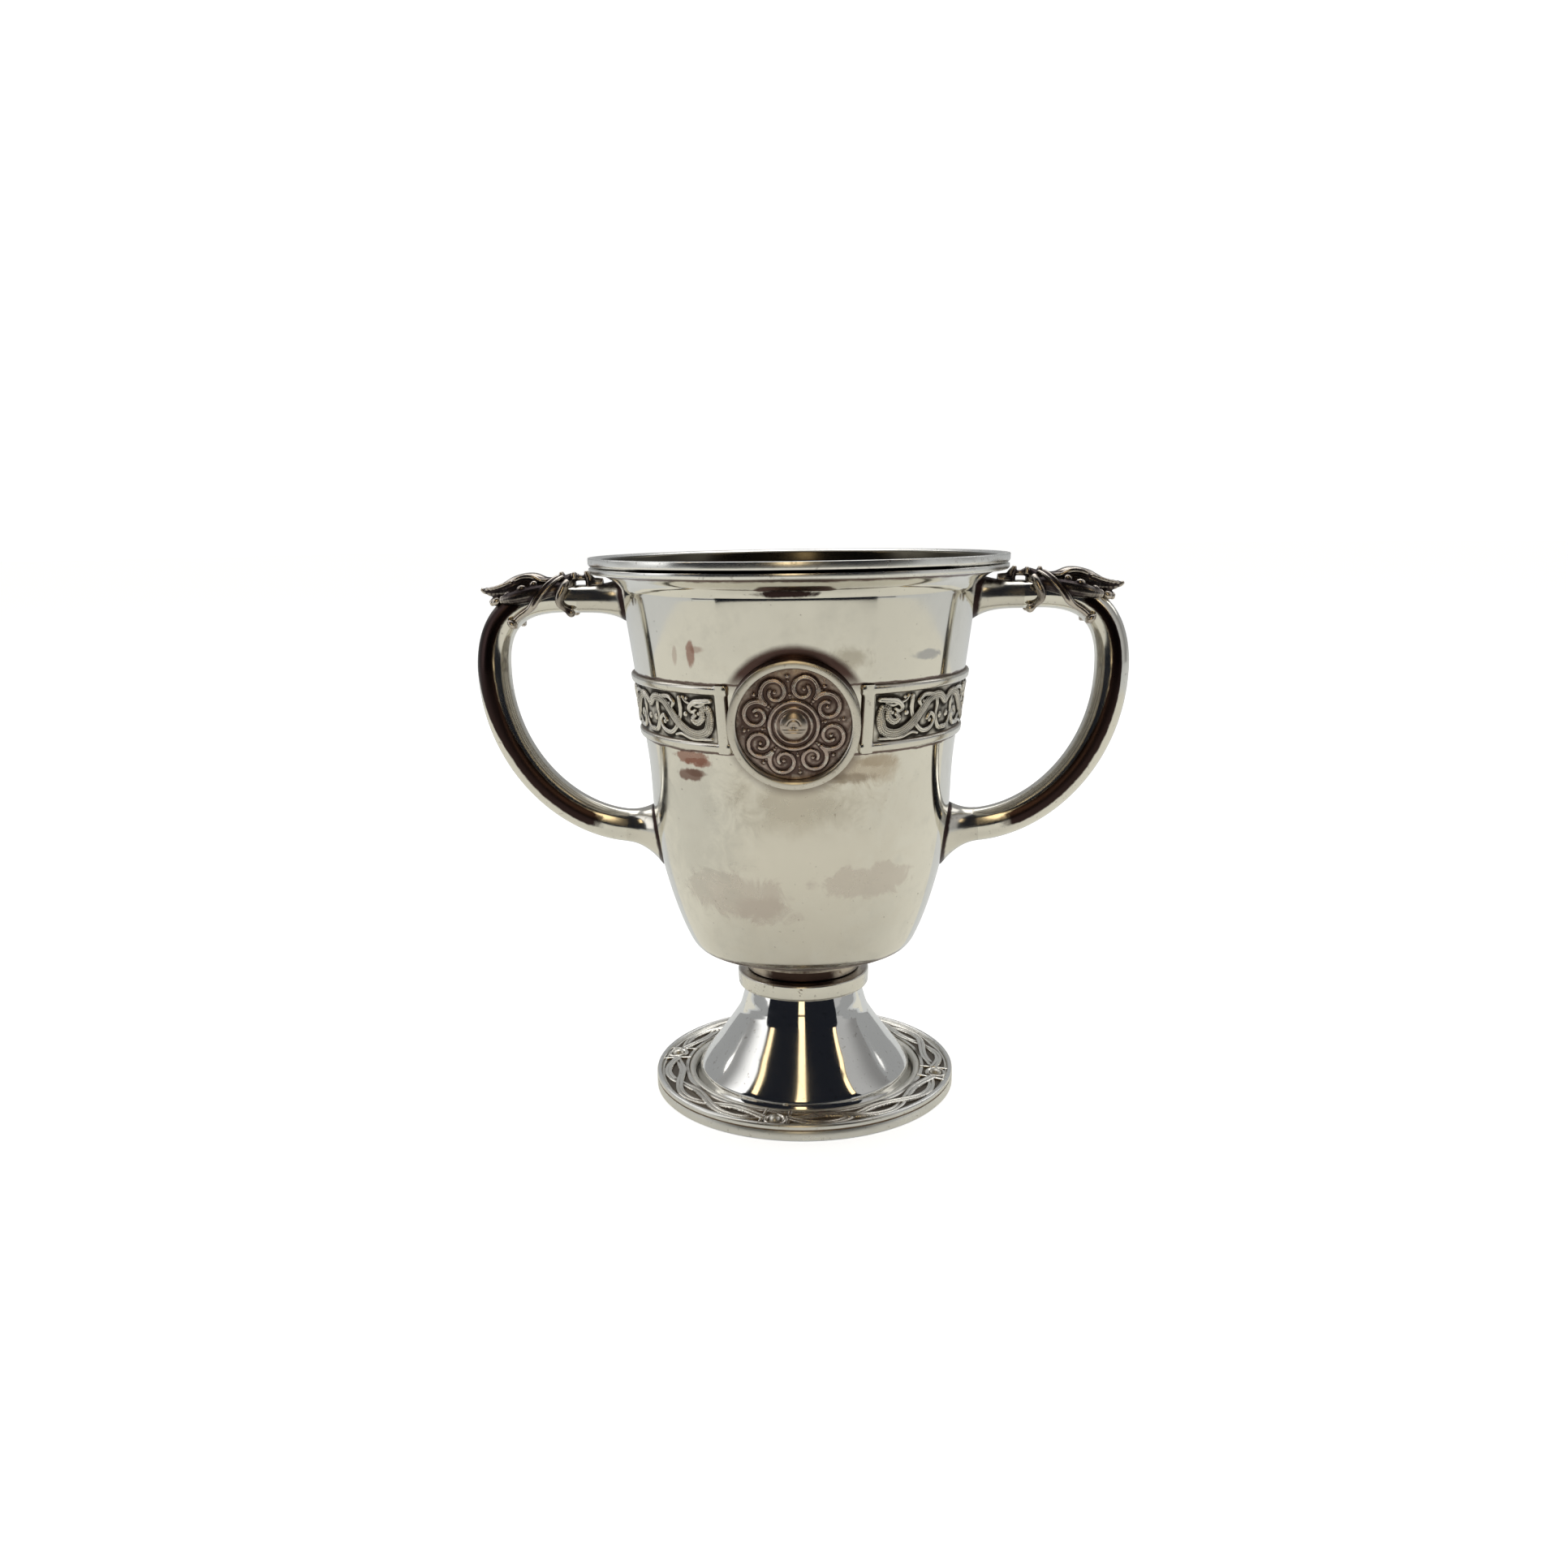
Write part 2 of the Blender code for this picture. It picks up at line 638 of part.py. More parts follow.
def medallion(parts, room):
    """Bezel, disc and boss of the front medallion, and their copies at the back."""
    place = medallion_place()
    wall = wall_radius(BAND_MIDDLE_Z)
    wall_sag = wall - math.sqrt(wall**2 - MEDALLION_RADIUS**2)
    depth = MEDALLION_STANDOFF + wall_sag + CUT_MARGIN
    inner = MEDALLION_RADIUS - BEZEL_WIDTH
    crest = (MEDALLION_RADIUS - BEZEL_ROUND, -BEZEL_ROUND)
    bezel_outline = [(inner, -BEZEL_ROUND / 2), (inner + BEZEL_ROUND / 2, 0.0)]
    bezel_outline += arc(crest, BEZEL_ROUND, 90, 0, 3)
    bezel_outline += [(MEDALLION_RADIUS, -depth), (inner, -depth)]
    disc_top = -DISC_RECESS
    disc_radius = inner - GAP
    disc_outline = [(0.0, disc_top), (disc_radius, disc_top), (disc_radius, -depth), (0.0, -depth)]
    boss_dome = dome_outline(BOSS_RADIUS, BOSS_HEIGHT)
    boss_outline = [(radius, disc_top + GAP + rise) for radius, rise in boss_dome]
    pieces = (
        ("bezel", bezel_outline, True, True, WORN_SILVER, TURN_STEPS),
        ("disc", disc_outline, False, True, TONED_SILVER, TURN_STEPS),
        ("boss", boss_outline, False, False, WORN_SILVER, SMALL_TURN_STEPS),
    )
    for word, outline, closed, seated, look, steps in pieces:
        name = f"front_medallion_{word}"
        obj = turned(name, outline, parts, closed=closed, steps=steps)
        obj.matrix_world = place
        if seated:
            boolean(obj, room, "DIFFERENCE")
        front = shade(settle(obj), metal(name, look))
        copy_turned_half(front, f"back_medallion_{word}", metal(f"back_medallion_{word}", look))


# Handles


def handle_knots():
    """Bezier knots of the right-hand bar: place, handle before, handle after and radius."""
    upper_start = wall_radius(HANDLE_TOP_Z) + UPPER_SOCKET_LENGTH
    foot_z = RIM_TOP_Z - HANDLE_FOOT_DROP
    foot_start = wall_radius(foot_z) + LOWER_SOCKET_LENGTH
    widest_z = RIM_TOP_Z - HANDLE_WIDEST_DROP
    slope = Vector((math.cos(HANDLE_FOOT_SLOPE), 0.0, math.sin(HANDLE_FOOT_SLOPE)))
    start = Vector((upper_start, 0.0, HANDLE_TOP_Z))
    widest = Vector((HANDLE_REACH, 0.0, widest_z))
    foot = Vector((foot_start, 0.0, foot_z))
    return [
        (start, start, start + Vector((UPPER_BEND_REACH, 0.0, 0.0)), HANDLE_TOP_RADIUS),
        (
            widest,
            widest + Vector((0.0, 0.0, UPPER_BEND_RISE)),
            widest - Vector((0.0, 0.0, LOWER_BEND_DROP)),
            HANDLE_RADIUS,
        ),
        (foot, foot + slope * LOWER_BEND_REACH, foot, HANDLE_RADIUS),
    ]


def bar(name, grow, collection):
    """The handle's bar as a mesh, grown on all sides by a clearance."""
    knots = handle_knots()
    curve = bpy.data.curves.new(name, "CURVE")
    curve.dimensions = "3D"
    curve.resolution_u = BAR_SPANS
    curve.bevel_depth = HANDLE_RADIUS + grow
    curve.bevel_resolution = (BAR_SIDES - 4) // 2
    curve.use_fill_caps = True
    spline = curve.splines.new("BEZIER")
    spline.bezier_points.add(len(knots) - 1)
    for knot, (place, before, after, radius) in zip(spline.bezier_points, knots):
        knot.handle_left_type = "FREE"
        knot.handle_right_type = "FREE"
        knot.co = place
        knot.handle_left = before
        knot.handle_right = after
        knot.radius = (radius + grow) / (HANDLE_RADIUS + grow)
    obj = bpy.data.objects.new(name, curve)
    collection.objects.link(obj)
    return settle(obj)


def bar_path(steps=24):
    """Points along the bar's middle line, from the upper joint to the lower one."""
    knots = handle_knots()
    points = []
    for first, second in zip(knots, knots[1:]):
        points += interpolate_bezier(first[0], first[2], second[1], second[0], steps + 1)[:-1]
    points.append(knots[-1][0])
    return points


def bar_radius(path, distance):
    """The bar's radius at a length from its upper joint, down to its widest reach."""
    upper_half = path[: len(path) // 2 + 1]
    length = sum((after - before).length for before, after in zip(upper_half, upper_half[1:]))
    share = min(max(distance / length, 0.0), 1.0)
    return HANDLE_TOP_RADIUS + (HANDLE_RADIUS - HANDLE_TOP_RADIUS) * share


def on_bar(path, distance, angle, lift):
    """A point at a length along the bar, an angle from its outer side and a distance from its middle."""
    if distance < 0.0:
        outwards = Vector((0.0, 0.0, 1.0))
        middle = path[0] + Vector((distance, 0.0, 0.0))
    else:
        left = distance
        i = 0
        while i < len(path) - 2 and (path[i + 1] - path[i]).length < left:
            left -= (path[i + 1] - path[i]).length
            i += 1
        along = (path[i + 1] - path[i]).normalized()
        middle = path[i] + along * left
        outwards = Vector((-along.z, 0.0, along.x))
    return middle + outwards * lift * math.cos(angle) + Vector((0.0, lift * math.sin(angle), 0.0))


def handle(parts):
    """Right-hand bar and its copy on the left."""
    obj = bar("right_handle_bar", 0.0, parts)
    right = shade(obj, metal("right_handle_bar", SILVER))
    copy_turned_half(right, "left_handle_bar", metal("left_handle_bar", SILVER))


def socket_solid(name, end, grow, collection):
    """A flared socket at one end of the bar, grown by a clearance."""
    joint, axis, radius, flare, length, curve = end
    outline = [(0.0, grow - GAP)]
    for i in range(SOCKET_SPANS + SOCKET_SPARE_SPANS + 1):
        share = i / SOCKET_SPANS
        swell = (flare - radius) * share**curve
        outline.append((radius + swell + grow, grow - GAP - (length + grow) * share))
    outline.append((0.0, outline[-1][1]))
    obj = settle(turned(name, outline, collection, closed=False, steps=SMALL_TURN_STEPS))
    obj.matrix_world = Matrix.Translation(joint) @ axis.to_track_quat("Z", "Y").to_matrix().to_4x4()
    return obj


def socket_ends():
    """Joint, axis, bar radius, flare, length and curve of the upper and the lower socket."""
    upper, _, foot = handle_knots()
    level = Vector((1.0, 0.0, 0.0))
    slope = Vector((math.cos(HANDLE_FOOT_SLOPE), 0.0, math.sin(HANDLE_FOOT_SLOPE)))
    upper_form = (HANDLE_TOP_RADIUS, UPPER_SOCKET_FLARE, UPPER_SOCKET_LENGTH, UPPER_SOCKET_CURVE)
    lower_form = (HANDLE_RADIUS, LOWER_SOCKET_FLARE, LOWER_SOCKET_LENGTH, LOWER_SOCKET_CURVE)
    return {
        "upper": (upper[0], level, *upper_form),
        "lower": (foot[0], slope, *lower_form),
    }


def sockets(parts, room):
    """Both sockets of the right-hand handle, and their copies on the left."""
    for word, end in socket_ends().items():
        name = f"right_{word}_socket"
        obj = boolean(socket_solid(name, end, 0.0, parts), room, "DIFFERENCE")
        right = shade(settle(obj), metal(name, SILVER))
        copy_turned_half(right, f"left_{word}_socket", metal(f"left_{word}_socket", SILVER))


# Beasts


def limb(name, path, places, side, collection):
    """A limb that winds from the beast's back round one side of the bar to a curled paw."""
    root, bend, paw, paw_angle = places
    points = []
    for i in range(LIMB_SPANS + 1):
        share = i / LIMB_SPANS
        angle = LIMB_ROOT_ANGLE + (paw_angle - LIMB_ROOT_ANGLE) * share
        place = root * (1 - share) ** 2 + 2 * bend * share * (1 - share) + paw * share**2
        lift = bar_radius(path, place) + GAP + LIMB_RADIUS / 2
        points.append(on_bar(path, place, side * angle, lift))
    radii = [LIMB_RADIUS] * LIMB_SPANS + [PAW_RADIUS]
    return make_cutter(settle(tube(name, points, radii, collection, LIMB_SIDES, LIMB_RESOLUTION)))


def beast(parts, cutters, room):
    """Cast beast that lies along the top of the right-hand bar, and its copy on the left."""
    path = bar_path()
    spine = (
        BEAST_RUMP,
        BEAST_HAUNCH,
        BEAST_BACK,
        BEAST_NECK,
        BEAST_BROW,
        BEAST_CHEEK,
        BEAST_MUZZLE,
        BEAST_SNOUT,
    )
    branches = (
        ("tail", (BEAST_TAIL_ROOT, BEAST_TAIL_BEND, BEAST_TAIL_TIP)),
        ("jaw", (BEAST_JAW_ROOT, BEAST_JAW_BEND, BEAST_JAW_TIP)),
    )
    points = [on_bar(path, place, 0.0, lift) for place, lift, _ in spine]
    radii = [radius for _, _, radius in spine]
    body = settle(tube("right_beast", points, radii, parts, BEAST_SIDES, BEAST_SPANS))
    for word, knots in branches:
        points = [on_bar(path, place, 0.0, lift) for place, lift, _ in knots]
        radii = [radius for _, _, radius in knots]
        branch = tube(f"beast_{word}", points, radii, cutters, LIMB_SIDES, LIMB_RESOLUTION)
        boolean(body, make_cutter(settle(branch)), "UNION")
    for side in (-1, 1):
        for word, places in (("forelimb", FORELIMB), ("hindlimb", HINDLIMB)):
            boolean(body, limb(f"{word}_{side}", path, places, side, cutters), "UNION")
    boolean(body, make_cutter(bar("bar_room", GAP, cutters)), "DIFFERENCE")
    socket_room = settle(socket_solid("socket_room", socket_ends()["upper"], GAP, cutters))
    boolean(body, make_cutter(socket_room), "DIFFERENCE")
    boolean(body, room, "DIFFERENCE")
    right = shade(settle(body), metal("right_beast", DARK_SILVER))
    copy_turned_half(right, "left_beast", metal("left_beast", DARK_SILVER))


def build():
    """Make every piece of the cup."""
    clear_scene()
    parts = new_collection(OBJECT_NAME)
    cutters = new_collection("cutters")
    foot_shell(parts)
    foot_border(parts)
    foot_bead(parts)
    foot_edge(parts)
    foot_studs(parts)
    knop_ring(parts)
    stem_collar(parts)
    bowl(parts)
    rim_moulding(parts)
    room = seat_cutter(cutters)
    band_frame(parts, cutters)
    band_panel(parts, cutters)
    medallion(parts, room)
    handle(parts)
    sockets(parts, room)
    beast(parts, cutters, room)


build()
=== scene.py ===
"""Looks of the small two-handled silver cup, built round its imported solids."""

import math

import bmesh
import bpy
import numpy as np
from mathutils import Matrix, Vector


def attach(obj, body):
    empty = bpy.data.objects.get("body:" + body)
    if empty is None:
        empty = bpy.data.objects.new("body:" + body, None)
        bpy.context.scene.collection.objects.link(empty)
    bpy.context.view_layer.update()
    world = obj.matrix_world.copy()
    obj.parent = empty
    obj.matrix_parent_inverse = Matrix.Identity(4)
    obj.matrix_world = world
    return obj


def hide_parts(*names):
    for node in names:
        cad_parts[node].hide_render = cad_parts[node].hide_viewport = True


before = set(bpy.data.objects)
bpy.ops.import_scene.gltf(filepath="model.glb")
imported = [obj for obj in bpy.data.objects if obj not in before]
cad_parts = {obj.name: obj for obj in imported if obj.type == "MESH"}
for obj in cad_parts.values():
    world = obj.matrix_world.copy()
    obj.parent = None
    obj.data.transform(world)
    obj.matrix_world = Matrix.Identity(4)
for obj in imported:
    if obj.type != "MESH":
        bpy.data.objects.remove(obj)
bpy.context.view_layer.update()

# Foot, from the table upwards, in metres
FOOT_RADIUS = 0.0341
FOOT_EDGE_HEIGHT = 0.0038
FOOT_EDGE_LIP = 0.0010
FOOT_EDGE_WIDTH = 0.0028
FOOT_LEDGE_HEIGHT = 0.0019
BRIM_HEIGHT = 0.0019
SHEET_THICKNESS = 0.0010
BORDER_BASE = 0.0021
BORDER_WIDTH = 0.0063
BEAD_RADIUS = 0.0008
COVE_WIDTH = 0.0014
COVE_HEIGHT = 0.0029
COVE_SAG = 0.4
CONE_TOP_RADIUS = 0.0150
CONE_TOP_HEIGHT = 0.0170
NECK_RADIUS = 0.0136
NECK_WAIST_HEIGHT = 0.0212
FOOT_HEIGHT = 0.0230
STUD_COUNT = 4
STUD_RADIUS = 0.0012
STUD_HEIGHT = 0.0009
STUD_INSET = 0.0025
STUD_SEAT_Z = BORDER_BASE + 0.0012
STUD_SINK = 0.0004
FIRST_STUD_TURN = math.radians(-10)
STUD_LEAN = math.radians(5)
FOOT_EDGE_CORNER = 0.0006
FOOT_LIP_CORNER = 0.0003
FOOT_GROOVE_Z = 0.0025
FOOT_GROOVE_DEPTH = 0.00015
# Neck of the cone: steps past its radius and over its waist
NECK_STEPS = ((-0.0004, 0.0012), (0.0001, -0.0004), (0.0006, -0.0022))

# Stem
GAP = 0.0003
STEM_BORE = 0.0060
KNOP_TOP_CORNER = 0.0005
KNOP_BASE_CORNER = 0.0007
COLLAR_LINES = (0.0019, 0.0028)
COLLAR_LINE_DEPTH = 0.0002
COLLAR_UNDERCUT = 0.0009
COLLAR_UNDERCUT_DROP = 0.0037
KNOP_RADIUS = 0.0149
KNOP_HEIGHT = 0.0040
COLLAR_RADIUS = 0.0144
COLLAR_WAIST_RADIUS = 0.0136
COLLAR_HEIGHT = 0.0057
KNOP_BASE_Z = FOOT_HEIGHT + GAP
COLLAR_BASE_Z = KNOP_BASE_Z + KNOP_HEIGHT + GAP
BOWL_BASE_Z = COLLAR_BASE_Z + COLLAR_HEIGHT + GAP

# Bowl: radii of its outer side and heights above its own base
BOWL_HEIGHT = 0.0855
BOWL_WALL = 0.0010
BOWL_KNOTS = (
    (0.0429, 0.0832), (0.0419, 0.0826), (0.0402, 0.0816), (0.03915, 0.0808), (0.03865, 0.0802),
    (0.03839, 0.0797), (0.0383, 0.0793), (0.03826, 0.0789), (0.03821, 0.0785), (0.03806, 0.0774),
    (0.03751, 0.0734), (0.0369, 0.0689), (0.0363, 0.0644), (0.0346, 0.0514), (0.0334, 0.0418),
    (0.0324, 0.0268), (0.0299, 0.0146), (0.0257, 0.0028), (0.0230, 0.0), (0.0, 0.0),
)
BOWL_TOP_Z = BOWL_BASE_Z + BOWL_HEIGHT
RIM_TOP_Z = BOWL_TOP_Z + 0.0009
RIM_INNER_RADIUS = 0.0430
RIM_OUTER_RADIUS = 0.0452
RIM_LIP_BEAD = 0.0010
RIM_LOWER_BEAD = 0.0007
RIM_CORNER = 0.0002
RIM_STEP = 0.00015
RIM_GROOVE_DEPTH = 0.0004
RIM_INNER_DROP = 0.0012

# Band and medallions
BAND_TOP_Z = BOWL_TOP_Z - 0.0234
BAND_HEIGHT = 0.0138
BAND_BOTTOM_Z = BAND_TOP_Z - BAND_HEIGHT
BAND_MIDDLE_Z = BAND_BOTTOM_Z + BAND_HEIGHT / 2
BAND_RAIL = 0.0021
BAND_END_BAR = 0.0029
FRAME_PROUD = 0.0009
FRAME_SINK = 0.00025
FRAME_GRID = (560, 48)
PANEL_GRID = (900, 100)
PANEL_UNIT = 20.0
PANEL_COPIES = 2
PANEL_FLOOR = 0.00015
PANEL_RELIEF = 0.00062
MEDALLION_RADIUS = 0.0130
MEDALLION_STANDOFF = 0.0034
BEZEL_WIDTH = 0.0017
BEZEL_SINK = 0.0003
BEZEL_CLEAN_DEPTH = 0.0020
DISC_RECESS = 0.0008
BOSS_RADIUS = 0.0029
BOSS_HEIGHT = 0.0012
BEZEL_CORNER = 0.0004
BEZEL_REACH = 0.0031
BEZEL_LIP = ((0.0, 0.0009), (0.00005, 0.0003), (0.0003, 0.00005), (0.0005, 0.0))
DISC_SEAT = DISC_RECESS + 0.00035
BOSS_LIFT = 0.0003
DISC_GRID = (110, 480)
BOSS_GRID = (40, 96)
SHEET_SINK = 0.0004

# Grime, darkening and painted shade on the bowl: where each patch of it ends, in metres
INSIDE_DARKENING = (0.096, 0.112)
# painted shade: the width of a dark line along each edge of the band
BAND_EDGE_SHADE = 0.0003
# painted shadow under the rim, between these heights
RIM_SHADE_Z = (BOWL_BASE_Z + 0.0824 - 0.0002, BOWL_BASE_Z + 0.0824 + 0.0003)
GRIME_BASE_Z = (BOWL_BASE_Z + 0.0006, BOWL_BASE_Z + 0.0016)
# painted reflection and shade: a dark arch over each medallion
RING_EDGE = (MEDALLION_RADIUS + 0.0011, MEDALLION_RADIUS + 0.0027)
RING_RISE = (0.0048, 0.0095)
# painted shade under each medallion
SHADE_EDGE = (MEDALLION_RADIUS + 0.0002, MEDALLION_RADIUS + 0.0030)
SHADE_RISE = (-0.0060, -0.0080)

# Handles
HANDLE_REACH = 0.0677
HANDLE_TOP_Z = RIM_TOP_Z - 0.0090
HANDLE_WIDEST_Z = RIM_TOP_Z - 0.0242
HANDLE_FOOT_Z = RIM_TOP_Z - 0.0598
HANDLE_FOOT_SLOPE = math.radians(5)
HANDLE_RADIUS = 0.0037
HANDLE_TOP_RADIUS = 0.0030
UPPER_BEND_REACH = 0.0045
UPPER_BEND_RISE = 0.0178
LOWER_BEND_DROP = 0.0203
LOWER_BEND_REACH = 0.0140
UPPER_SOCKET = (0.0102, 0.0048, 3.3)
LOWER_SOCKET = (0.0066, 0.0063, 2.0)
BAR_END = 0.0004
BEAST_VOXEL = 0.00015
BEAST_BLUR = 14
BAR_STEPS = 60
BAR_RINGS = 140
BAR_SIDES = 48
SOCKET_SPANS = 26
SOCKET_SKIN = 0.00004
SOCKET_SINK = 0.0002
SOCKET_FIRST_SHARE = 0.6
SOCKET_LAST_SHARE = 1.35

TURN_STEPS = 240
SMALL_TURN_STEPS = 64
SIDES = (("right", 1), ("left", -1))


# Node helpers for the materials


class Nodes:
    """A short way to add shader nodes to one material."""

    def __init__(self, name):
        self.material = bpy.data.materials.new(name)
        self.material.use_nodes = True
        self.tree = self.material.node_tree
        self.shader = self.tree.nodes["Principled BSDF"]
        self.place = self.add("ShaderNodeTexCoord").outputs["Object"]

    def add(self, kind, inputs=None, **settings):
        """A new node with its settings, and a value or a link for each input that is named or numbered."""
        node = self.tree.nodes.new(kind)
        for key, value in settings.items():
            setattr(node, key, value)
        for key, value in (inputs or {}).items():
            self.feed(node.inputs[key], value)
        return node

    def feed(self, target, value):
        if isinstance(value, bpy.types.NodeSocket):
            self.tree.links.new(value, target)
        elif isinstance(value, tuple) and len(value) == 3 and len(target.default_value) == 4:
            target.default_value = (*value, 1.0)
        else:
            target.default_value = value

    def math(self, operation, first, second=0.0, third=0.0):
        return self.add("ShaderNodeMath", {0: first, 1: second, 2: third}, operation=operation).outputs[0]

    def vector(self, operation, first, second):
        return self.add("ShaderNodeVectorMath", {0: first, 1: second}, operation=operation).outputs[0]

    def noise(self, scale, detail=3.0, rough=0.5, shift=(0.0, 0.0, 0.0), warp=0.0):
        mapping = self.add("ShaderNodeMapping", {"Vector": self.place, "Location": shift})
        values = {"Scale": scale, "Detail": detail, "Roughness": rough, "Distortion": warp}
        values["Vector"] = mapping.outputs["Vector"]
        return self.add("ShaderNodeTexNoise", values).outputs["Fac"]

    def ramp(self, value, low, high, start=0.0, end=1.0):
        values = {"Value": value, "From Min": low, "From Max": high, "To Min": start, "To Max": end}
        return self.add("ShaderNodeMapRange", values, interpolation_type="SMOOTHSTEP").outputs["Result"]

    def mix(self, share, first, second):
        return self.add("ShaderNodeMix", {"Factor": share, 6: first, 7: second}, data_type="RGBA").outputs[2]

    def blot(self, middle, size, edge=0.35):
        """A patch with a ragged edge round a point, as a share from 0 to 1; it lays stains, and on the bowl
        painted shade too.
        """
        scaled = self.vector("DIVIDE", self.vector("SUBTRACT", self.place, middle), size)
        length = self.add("ShaderNodeVectorMath", {0: scaled}, operation="LENGTH").outputs["Value"]
        wobble = self.math("MULTIPLY_ADD", self.noise(170.0, 7.0, 0.68, warp=0.6), 2.6, -1.3)
        return self.ramp(self.math("ADD", length, wobble), 1.0 - edge, 1.0 + edge, 1.0, 0.0)

    def blotted(self, colour, blots, haze=None):
        """The colour with each patch laid over it, stains and painted shade alike, and the haze with what the
        patches add to it.
        """
        for middle, size, tone, cover, edge in blots:
            share = self.math("MULTIPLY", self.blot(middle, size, edge), cover)
            colour = self.mix(share, colour, tone)
            if haze is not None:
                haze = self.math("ADD", haze, self.math("MULTIPLY", share, STAIN_HAZE))
        return colour, haze

    def axes(self):
        """The object's own X, Y and Z."""
        return self.add("ShaderNodeSeparateXYZ", {0: self.place}).outputs

    def attribute(self, name):
        return self.add("ShaderNodeAttribute", attribute_name=name).outputs["Fac"]

    def bump(self, height, strength, distance):
        node = self.add("ShaderNodeBump", {"Strength": strength, "Distance": distance, "Height": height})
        self.feed(self.shader.inputs["Normal"], node.outputs["Normal"])

    def finish(self, colour, roughness, metallic=1.0):
        for name, value in (("Metallic", metallic), ("Base Color", colour), ("Roughness", roughness)):
            self.feed(self.shader.inputs[name], value)
        return self.material


# Materials

BRIGHT = (0.84, 0.835, 0.81)
CREAM = (0.78, 0.76, 0.70)
GREY = (0.60, 0.585, 0.54)
BROWN = (0.20, 0.145, 0.105)
RUST = (0.30, 0.14, 0.10)
PINKISH = (0.56, 0.49, 0.45)
# dark tone: painted dark reflection along the handles and under the rim at the front, and darkening of the
# sockets
TARNISH_AND_DARK_REFLECTION = (0.035, 0.021, 0.020)
UMBER = (0.115, 0.070, 0.062)
# black painted shade in the rim's groove
BLACK_GROOVE_SHADE = (0.010, 0.009, 0.008)
# brown on the collar: painted shade in its undercut and a darkening of its face
BROWN_GRIME_AND_SHADE = (0.055, 0.034, 0.028)
STAIN_HAZE = 0.20


def polished(name, tone, gloss, haze, shift, spots=0.35, grime_and_shade=None):
    """Bright silver with faint clouding, a gloss that is hazier in places, and grime and painted shade where
    it is marked.
    """
    nodes = Nodes(name)
    clouds = nodes.noise(55.0, 4.0, 0.55, shift=shift)
    specks = nodes.noise(900.0, 2.0, 0.6, shift=shift)
    colour = nodes.mix(nodes.ramp(clouds, 0.35, 0.70), tone, tuple(c * 0.93 for c in tone))
    colour = nodes.mix(nodes.ramp(specks, 0.62, 0.74, 0.0, spots), colour, BROWN)
    roughness = nodes.ramp(clouds, 0.30, 0.75, gloss, haze)
    # the marked share carries grime on some pieces, and painted shade and reflection on others
    if grime_and_shade is not None:
        wobble = nodes.math("MULTIPLY_ADD", nodes.noise(600.0, 3.0, 0.6), 0.5, -0.25)
        share = nodes.ramp(nodes.math("ADD", nodes.attribute("relief"), wobble), 0.25, 0.75)
        colour = nodes.mix(share, colour, grime_and_shade)
        roughness = nodes.math("ADD", roughness, nodes.math("MULTIPLY", share, 0.15))
    nodes.bump(nodes.noise(70.0, 2.0, 0.5, shift=shift), 0.05, 0.0006)
    return nodes.finish(colour, roughness)


def bowl_outside():
    """Silver of the bowl's outer side, with hazy stains, brown spots and clouding, and painted shade and
    reflections laid over it.
    """
    nodes = Nodes("bowl_silver")
    clouds = nodes.noise(48.0, 5.0, 0.6)
    mottle = nodes.noise(170.0, 4.0, 0.6, shift=(0.3, 0.1, 0.2))
    specks = nodes.noise(1100.0, 2.0, 0.5)
    colour = nodes.mix(nodes.ramp(clouds, 0.32, 0.70), CREAM, tuple(c * 0.94 for c in CREAM))
    colour = nodes.mix(nodes.ramp(mottle, 0.50, 0.75, 0.0, 0.35), colour, GREY)
    colour, haze = nodes.blotted(colour, BOWL_STAINS_AND_SHADE, nodes.ramp(clouds, 0.30, 0.75, 0.06, 0.11))
    colour = nodes.mix(nodes.ramp(specks, 0.70, 0.80, 0.0, 0.5), colour, BROWN)
    # painted shade and reflection round the medallions, along the band and under the rim, and grime at the
    # base
    share = bowl_grime_and_shade(nodes)
    colour = nodes.mix(share, colour, UMBER)
    haze = nodes.math("ADD", haze, nodes.math("MULTIPLY", share, STAIN_HAZE))
    nodes.bump(nodes.noise(60.0, 2.0, 0.5), 0.04, 0.0008)
    return nodes.finish(colour, haze)


